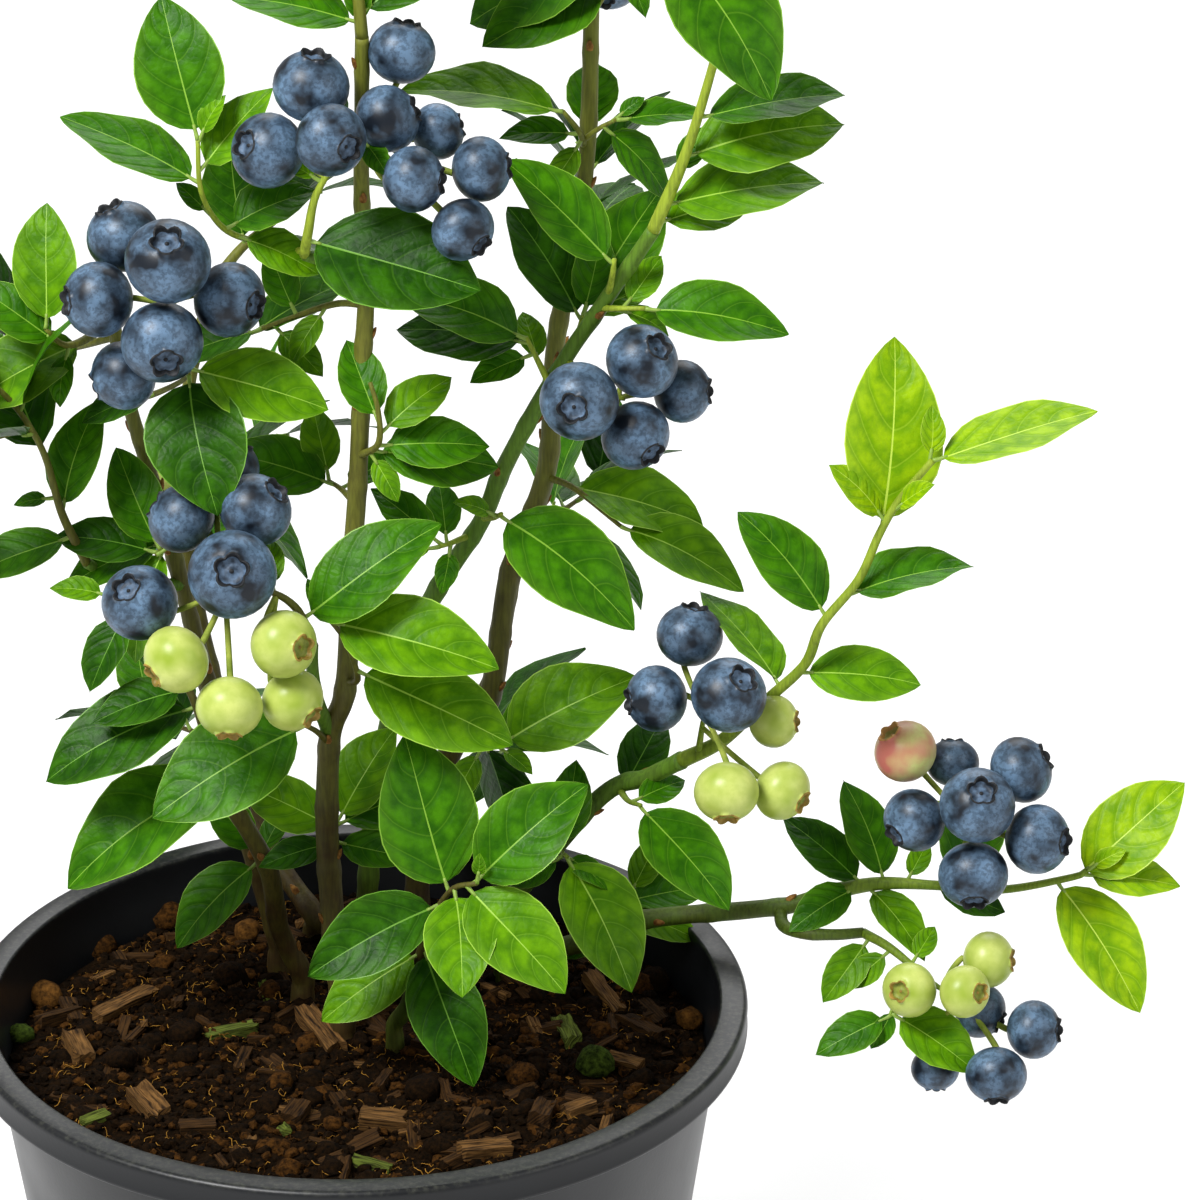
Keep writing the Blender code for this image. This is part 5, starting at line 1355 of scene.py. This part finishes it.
# Radius and height on a berry of radius 1: the disc and the collar round it.
collar = [(0, 0.745), (0.035, 0.74), (0.055, 0.70), (0.17, 0.685), (0.26, 0.69), (0.305, 0.735),
          (0.330, 0.83), (0.346, 0.882), (0.366, 0.884), (0.390, 0.85), (0.43, 0.818),
          (0.475, 0.79)]
body = [(math.sin(math.radians(a)), FLATNESS * math.cos(math.radians(a)))
        for a in (31, 38, 47, 58, 70, 82, 94, 106, 118, 130, 142, 154, 165)]
hollow = [(0.14, -0.855), (0.07, -0.82), (0, -0.80)]
bm = turned(collar + body + hollow, BERRY_SEGMENTS, 0.0005)
for face in bm.faces:
    middle = face.calc_center_median()
    radius = math.hypot(middle.x, middle.y)
    if middle.z > 0:
        face.material_index = 2 if 0.05 < radius < 0.30 else 1 if radius < 0.395 else 0
for vert in bm.verts:
    radius = math.hypot(vert.co.x, vert.co.y)
    if vert.co.z > 0.5 and 0.26 < radius < 0.46:
        # Five lobes, narrow at their tips.
        lobe = 2 * abs(math.cos(2.5 * math.atan2(vert.co.y, vert.co.x))) - 1.2
        share = max(0.0, 1 - abs(radius - 0.36) / 0.10)
        vert.co.z += LOBE_HEIGHT * share * lobe
        swell = 1 + LOBE_REACH * lobe * share
        vert.co.x *= swell
        vert.co.y *= swell
BERRY = pattern_of(bm)
print("faces in a berry:", len(BERRY["sizes"]))

# %% Berry skins
SPECKLE_SIZE = 1.1


def berry_skin(name, dark, bloom, patch, low, high, roughness, speckle=0.0):
    """Skin under a wax bloom: soft patches `patch` mm wide, and fine speckles."""
    finish, tree, shader = new_finish(name, Roughness=roughness, IOR=1.42,
                                      Specular_IOR_Level=0.42)
    place = add_node(tree, "TexCoord", out="Object")
    wax = patches(tree, place, per_metre(patch), 2.0, 0.5, (low, high))[1]
    dots, worn = patches(tree, place, per_metre(SPECKLE_SIZE), 3.0, 0.6, (0.42, 0.54),
                         (1 - speckle, 1))
    cover = add_node(tree, "Math", {"operation": "MULTIPLY"}, {0: wax, 1: worn})
    tone = add_node(tree, "Mix", {"data_type": "RGBA", TONE_A: linear(dark),
                                  TONE_B: linear(bloom)}, {0: cover}, MIXED)
    dress(tree, shader, tone, dots, 0.25, 0.06)
    return finish


BERRY_FINISHES = [
    berry_skin("waxy bloom on a ripe berry", "#0f161f", "#5c7690", 6.0, 0.34, 0.66, 0.40, 0.45),
    berry_skin("dried collar of a ripe berry", "#07090c", "#24262a", 1.5, 0.35, 0.7, 0.6),
    berry_skin("disc of a ripe berry", "#232f3d", "#5b718a", 2.0, 0.35, 0.6, 0.55, 0.3),
    berry_skin("skin of a green berry", "#8a9f31", "#bcc66c", 7.0, 0.25, 0.70, 0.34, 0.12),
    berry_skin("collar of a green berry", "#70601f", "#a8883c", 2.0, 0.35, 0.7, 0.5),
    berry_skin("disc of a green berry", "#66741f", "#8f983c", 1.5, 0.3, 0.7, 0.5),
    berry_skin("skin of a blushing berry", "#b86a5e", "#bcc077", 11.0, 0.40, 0.60, 0.4, 0.15),
    berry_skin("collar of a blushing berry", "#a8763c", "#c79a5c", 2.0, 0.35, 0.7, 0.5),
    berry_skin("disc of a blushing berry", "#8f8a48", "#b3a468", 1.5, 0.3, 0.7, 0.5)]
STAGES = ["ripe", "green", "blush"]
print(len(BERRY_FINISHES), "finishes for", len(STAGES), "stages of ripeness")

# %% Berries on their stalks
SETTLE_PASSES = 40
BERRY_GAP = 0.2
RACEME = (0.58, 0.70, 0.82, 0.93)


def settled(fruit):
    """The berries of a bunch, eased apart along the line of sight until clear."""
    places = [list(each["at"]) for each in fruit]
    for _ in range(SETTLE_PASSES):
        for (a, one), (b, two) in combinations(list(zip(places, fruit)), 2):
            wanted = ((one["size"] + two["size"]) / 2 + BERRY_GAP) ** 2
            wanted -= (a[0] - b[0]) ** 2 + (a[1] - b[1]) ** 2
            apart = abs(a[2] - b[2])
            if wanted > apart * apart:
                push = (math.sqrt(wanted) - apart) / 2
                ahead, behind = (a, b) if a[2] > b[2] else (b, a)
                ahead[2] += push
                behind[2] -= push
    return places


def hung_berry(centre, axis, each, draw):
    """A berry with its collar along the axis."""
    turn = UP.rotation_difference(axis).to_matrix() @ Matrix.Rotation(draw.uniform(0, 6.28), 3, "Z")
    squeeze = np.array((1, draw.uniform(0.96, 1.0), draw.uniform(0.97, 1.03)))
    points = BERRY["points"] * squeeze * each["size"] / 2 @ np.array(turn).T + np.array(centre)
    finishes = BERRY["finishes"] + 3 * STAGES.index(each["stage"])
    return {**BERRY, "finishes": finishes}, points


# %% [markdown]
# ## Grow the sprays
#
# Each spray starts inside its limb. Its twigs are tubes, its leaves stand on
# short stalks, and its berries hang from the second half of the twig.

# %% Dress a twig
TWIG_STEP = 1.8
TWIG_SIDES = 8
TWIG_TAPER = 0.55
RUN_OUT = 24.0
LIMB_TIP = 0.96
STALK_SIDES = 6
LEAF_STALK = (1.20, 0.84)
BERRY_STALK = (1.32, 1.64)
leaf_copies, twig_copies, stalk_copies, berry_copies = [], [], [], []
draw = random.Random(21)


def twig_girths(course, girth, carrier):
    """Radii along a twig; one that goes on from a limb's end starts as thick as it."""
    girths = tapered(course, girth, girth * TWIG_TAPER)
    limb_course, limb_radii = limbs[carrier]
    if (course[0] - limb_course[-1]).length >= 1.5:
        return girths
    shares = [min(1.0, index * TWIG_STEP / RUN_OUT) for index in range(len(girths))]
    return [LIMB_TIP * limb_radii[-1] * (1 - share) + girth * share
            for girth, share in zip(girths, shares)]


def add_leaf(spray, spec, course):
    """A leaf and its stalk."""
    base, direction, face = leaf_pose(spec, course)
    age = age_or_shade_of(spray, spec, -base.y, draw)
    leaf_copies.append(bent_leaf(base, direction, face, spec, age, draw))
    stalk = smooth([base, base + direction * 1.3 - face * 0.15, base + direction * PETIOLE,
                    base + direction * (PETIOLE + 1.2) + face * 0.2], 0.9)
    stalk_copies.append(tube(stalk, tapered(stalk, *LEAF_STALK), STALK_SIDES, 0))


def add_bunch(fruit, course):
    """The berries at a twig's tip, each on a stalk from the last part of the twig."""
    joints = [point_at(course, share)[0] for share in RACEME]
    middle = sum((Vector(each["at"]) for each in fruit), Vector()) / max(1, len(fruit))
    for each, (right, rise, near) in zip(fruit, settled(fruit)):
        centre = course[-1] + RIGHT * right + RISE * rise + NEAR * near
        if each["bearing"] is None:
            out = Vector((right, rise, near)) - middle
            axis = (RIGHT * out.x + RISE * out.y + NEAR * out.z + RISE * 2).normalized()
        else:
            axis = aimed(each["bearing"], each["lean"])
        berry_copies.append(hung_berry(centre, axis, each, draw))
        foot = centre - axis * each["size"] * 0.40
        hub = min(joints, key=lambda joint: (joint - foot).length)
        stalk = smooth([hub, hub.lerp(foot, 0.5) - axis * 1.5, foot - axis * 1.2, foot], 1.0)
        stalk_copies.append(tube(stalk, tapered(stalk, *BERRY_STALK), STALK_SIDES, 1))


# %% Twigs, leaves, stalks and berries
GREEN_LIMBS = ("cane_d", "cane_e", "cane_f", "bough_b_high", "bough_f_low")
for name, (carrier, twigs) in SPRAYS.items():
    for spec in twigs:
        course = smooth([seen(*p) for p in spec["course"]], TWIG_STEP)
        twig_copies.append(tube(course, twig_girths(course, spec["girth"], carrier), TWIG_SIDES,
                                int(carrier in GREEN_LIMBS)))
        for each in spec["leaves"]:
            add_leaf(name, each, course)
        add_bunch(spec["fruit"], course)
leaf_stalk, _, shader = new_finish("leaf stalk", Roughness=0.5)
shader.inputs["Base Color"].default_value = linear("#7d9a38")
berry_stalk = grainy("berry stalk", "#6f8230", "#9aa548", 4.0, 0.55, 0.05)
joined("leaves", leaf_copies, LEAF_FINISHES, list(SPRAYS))
joined("twigs", twig_copies, [woody, shoot])
joined("stalks", stalk_copies, [leaf_stalk, berry_stalk])
joined("berries", berry_copies, BERRY_FINISHES)

# %% [markdown]
# ## Light, floor and camera
#
# The bush stands on a white acrylic sweep that is lit from behind, and that runs
# out of the frame. A soft box above on the left is the key. Two weaker ones fill
# the right and trace the back.

# %% Floor and world
FLOOR_SIZE = 6.0
FLOOR_GREY = 0.38
FLOOR_GLOW = 0.66
WORLD_STRENGTH = 0.40
bm = bmesh.new()
bmesh.ops.create_grid(bm, x_segments=1, y_segments=1, size=FLOOR_SIZE / 2)
floor = plain_object("floor", bm, bpy.context.scene.collection)
sweep, _, shader = new_finish("white acrylic sweep lit from behind", Roughness=0.8)
shader.inputs["Base Color"].default_value = (FLOOR_GREY, FLOOR_GREY, FLOOR_GREY, 1)
shader.inputs["Emission Color"].default_value = (1, 1, 1, 1)
shader.inputs["Emission Strength"].default_value = FLOOR_GLOW
floor.data.materials.append(sweep)
world = bpy.data.worlds.new("studio")
world.use_nodes = True
backdrop = world.node_tree.nodes["Background"]
backdrop.inputs["Color"].default_value = (1, 1, 1, 1)
backdrop.inputs["Strength"].default_value = WORLD_STRENGTH
bpy.context.scene.world = world
bpy.context.scene.view_settings.view_transform = "Standard"

# %% Soft boxes
MIDDLE = Vector((0.03, 0, 0.25))


def soft_box(name, place, power, size):
    """A square lamp `size` metres wide that looks at the middle of the bush."""
    lamp = bpy.data.lights.new(name, "AREA")
    lamp.energy = power
    lamp.size = size
    box = bpy.data.objects.new(name, lamp)
    box.location = place
    box.rotation_euler = (MIDDLE - box.location).to_track_quat("-Z", "Y").to_euler()
    bpy.context.scene.collection.objects.link(box)


soft_box("key", Vector((-0.9, -0.9, 1.9)), 62, 0.7)
soft_box("fill", Vector((1.5, -0.8, 1.1)), 9, 1.4)
soft_box("back", Vector((0.2, 1.5, 1.6)), 20, 1.4)
print("lamps:", [each.name for each in bpy.data.lights])

# %% Camera
FOCAL_LENGTH = 147.83
camera = bpy.data.cameras.new("camera")
camera.sensor_width = 36
camera.lens = FOCAL_LENGTH
camera.clip_end = 10
viewer = bpy.data.objects.new("camera", camera)
bpy.context.scene.collection.objects.link(viewer)
viewer.matrix_world = (Matrix.Translation(EYE * MM)
                       @ Matrix((RIGHT, RISE, NEAR)).transposed().to_4x4())
bpy.context.scene.camera = viewer
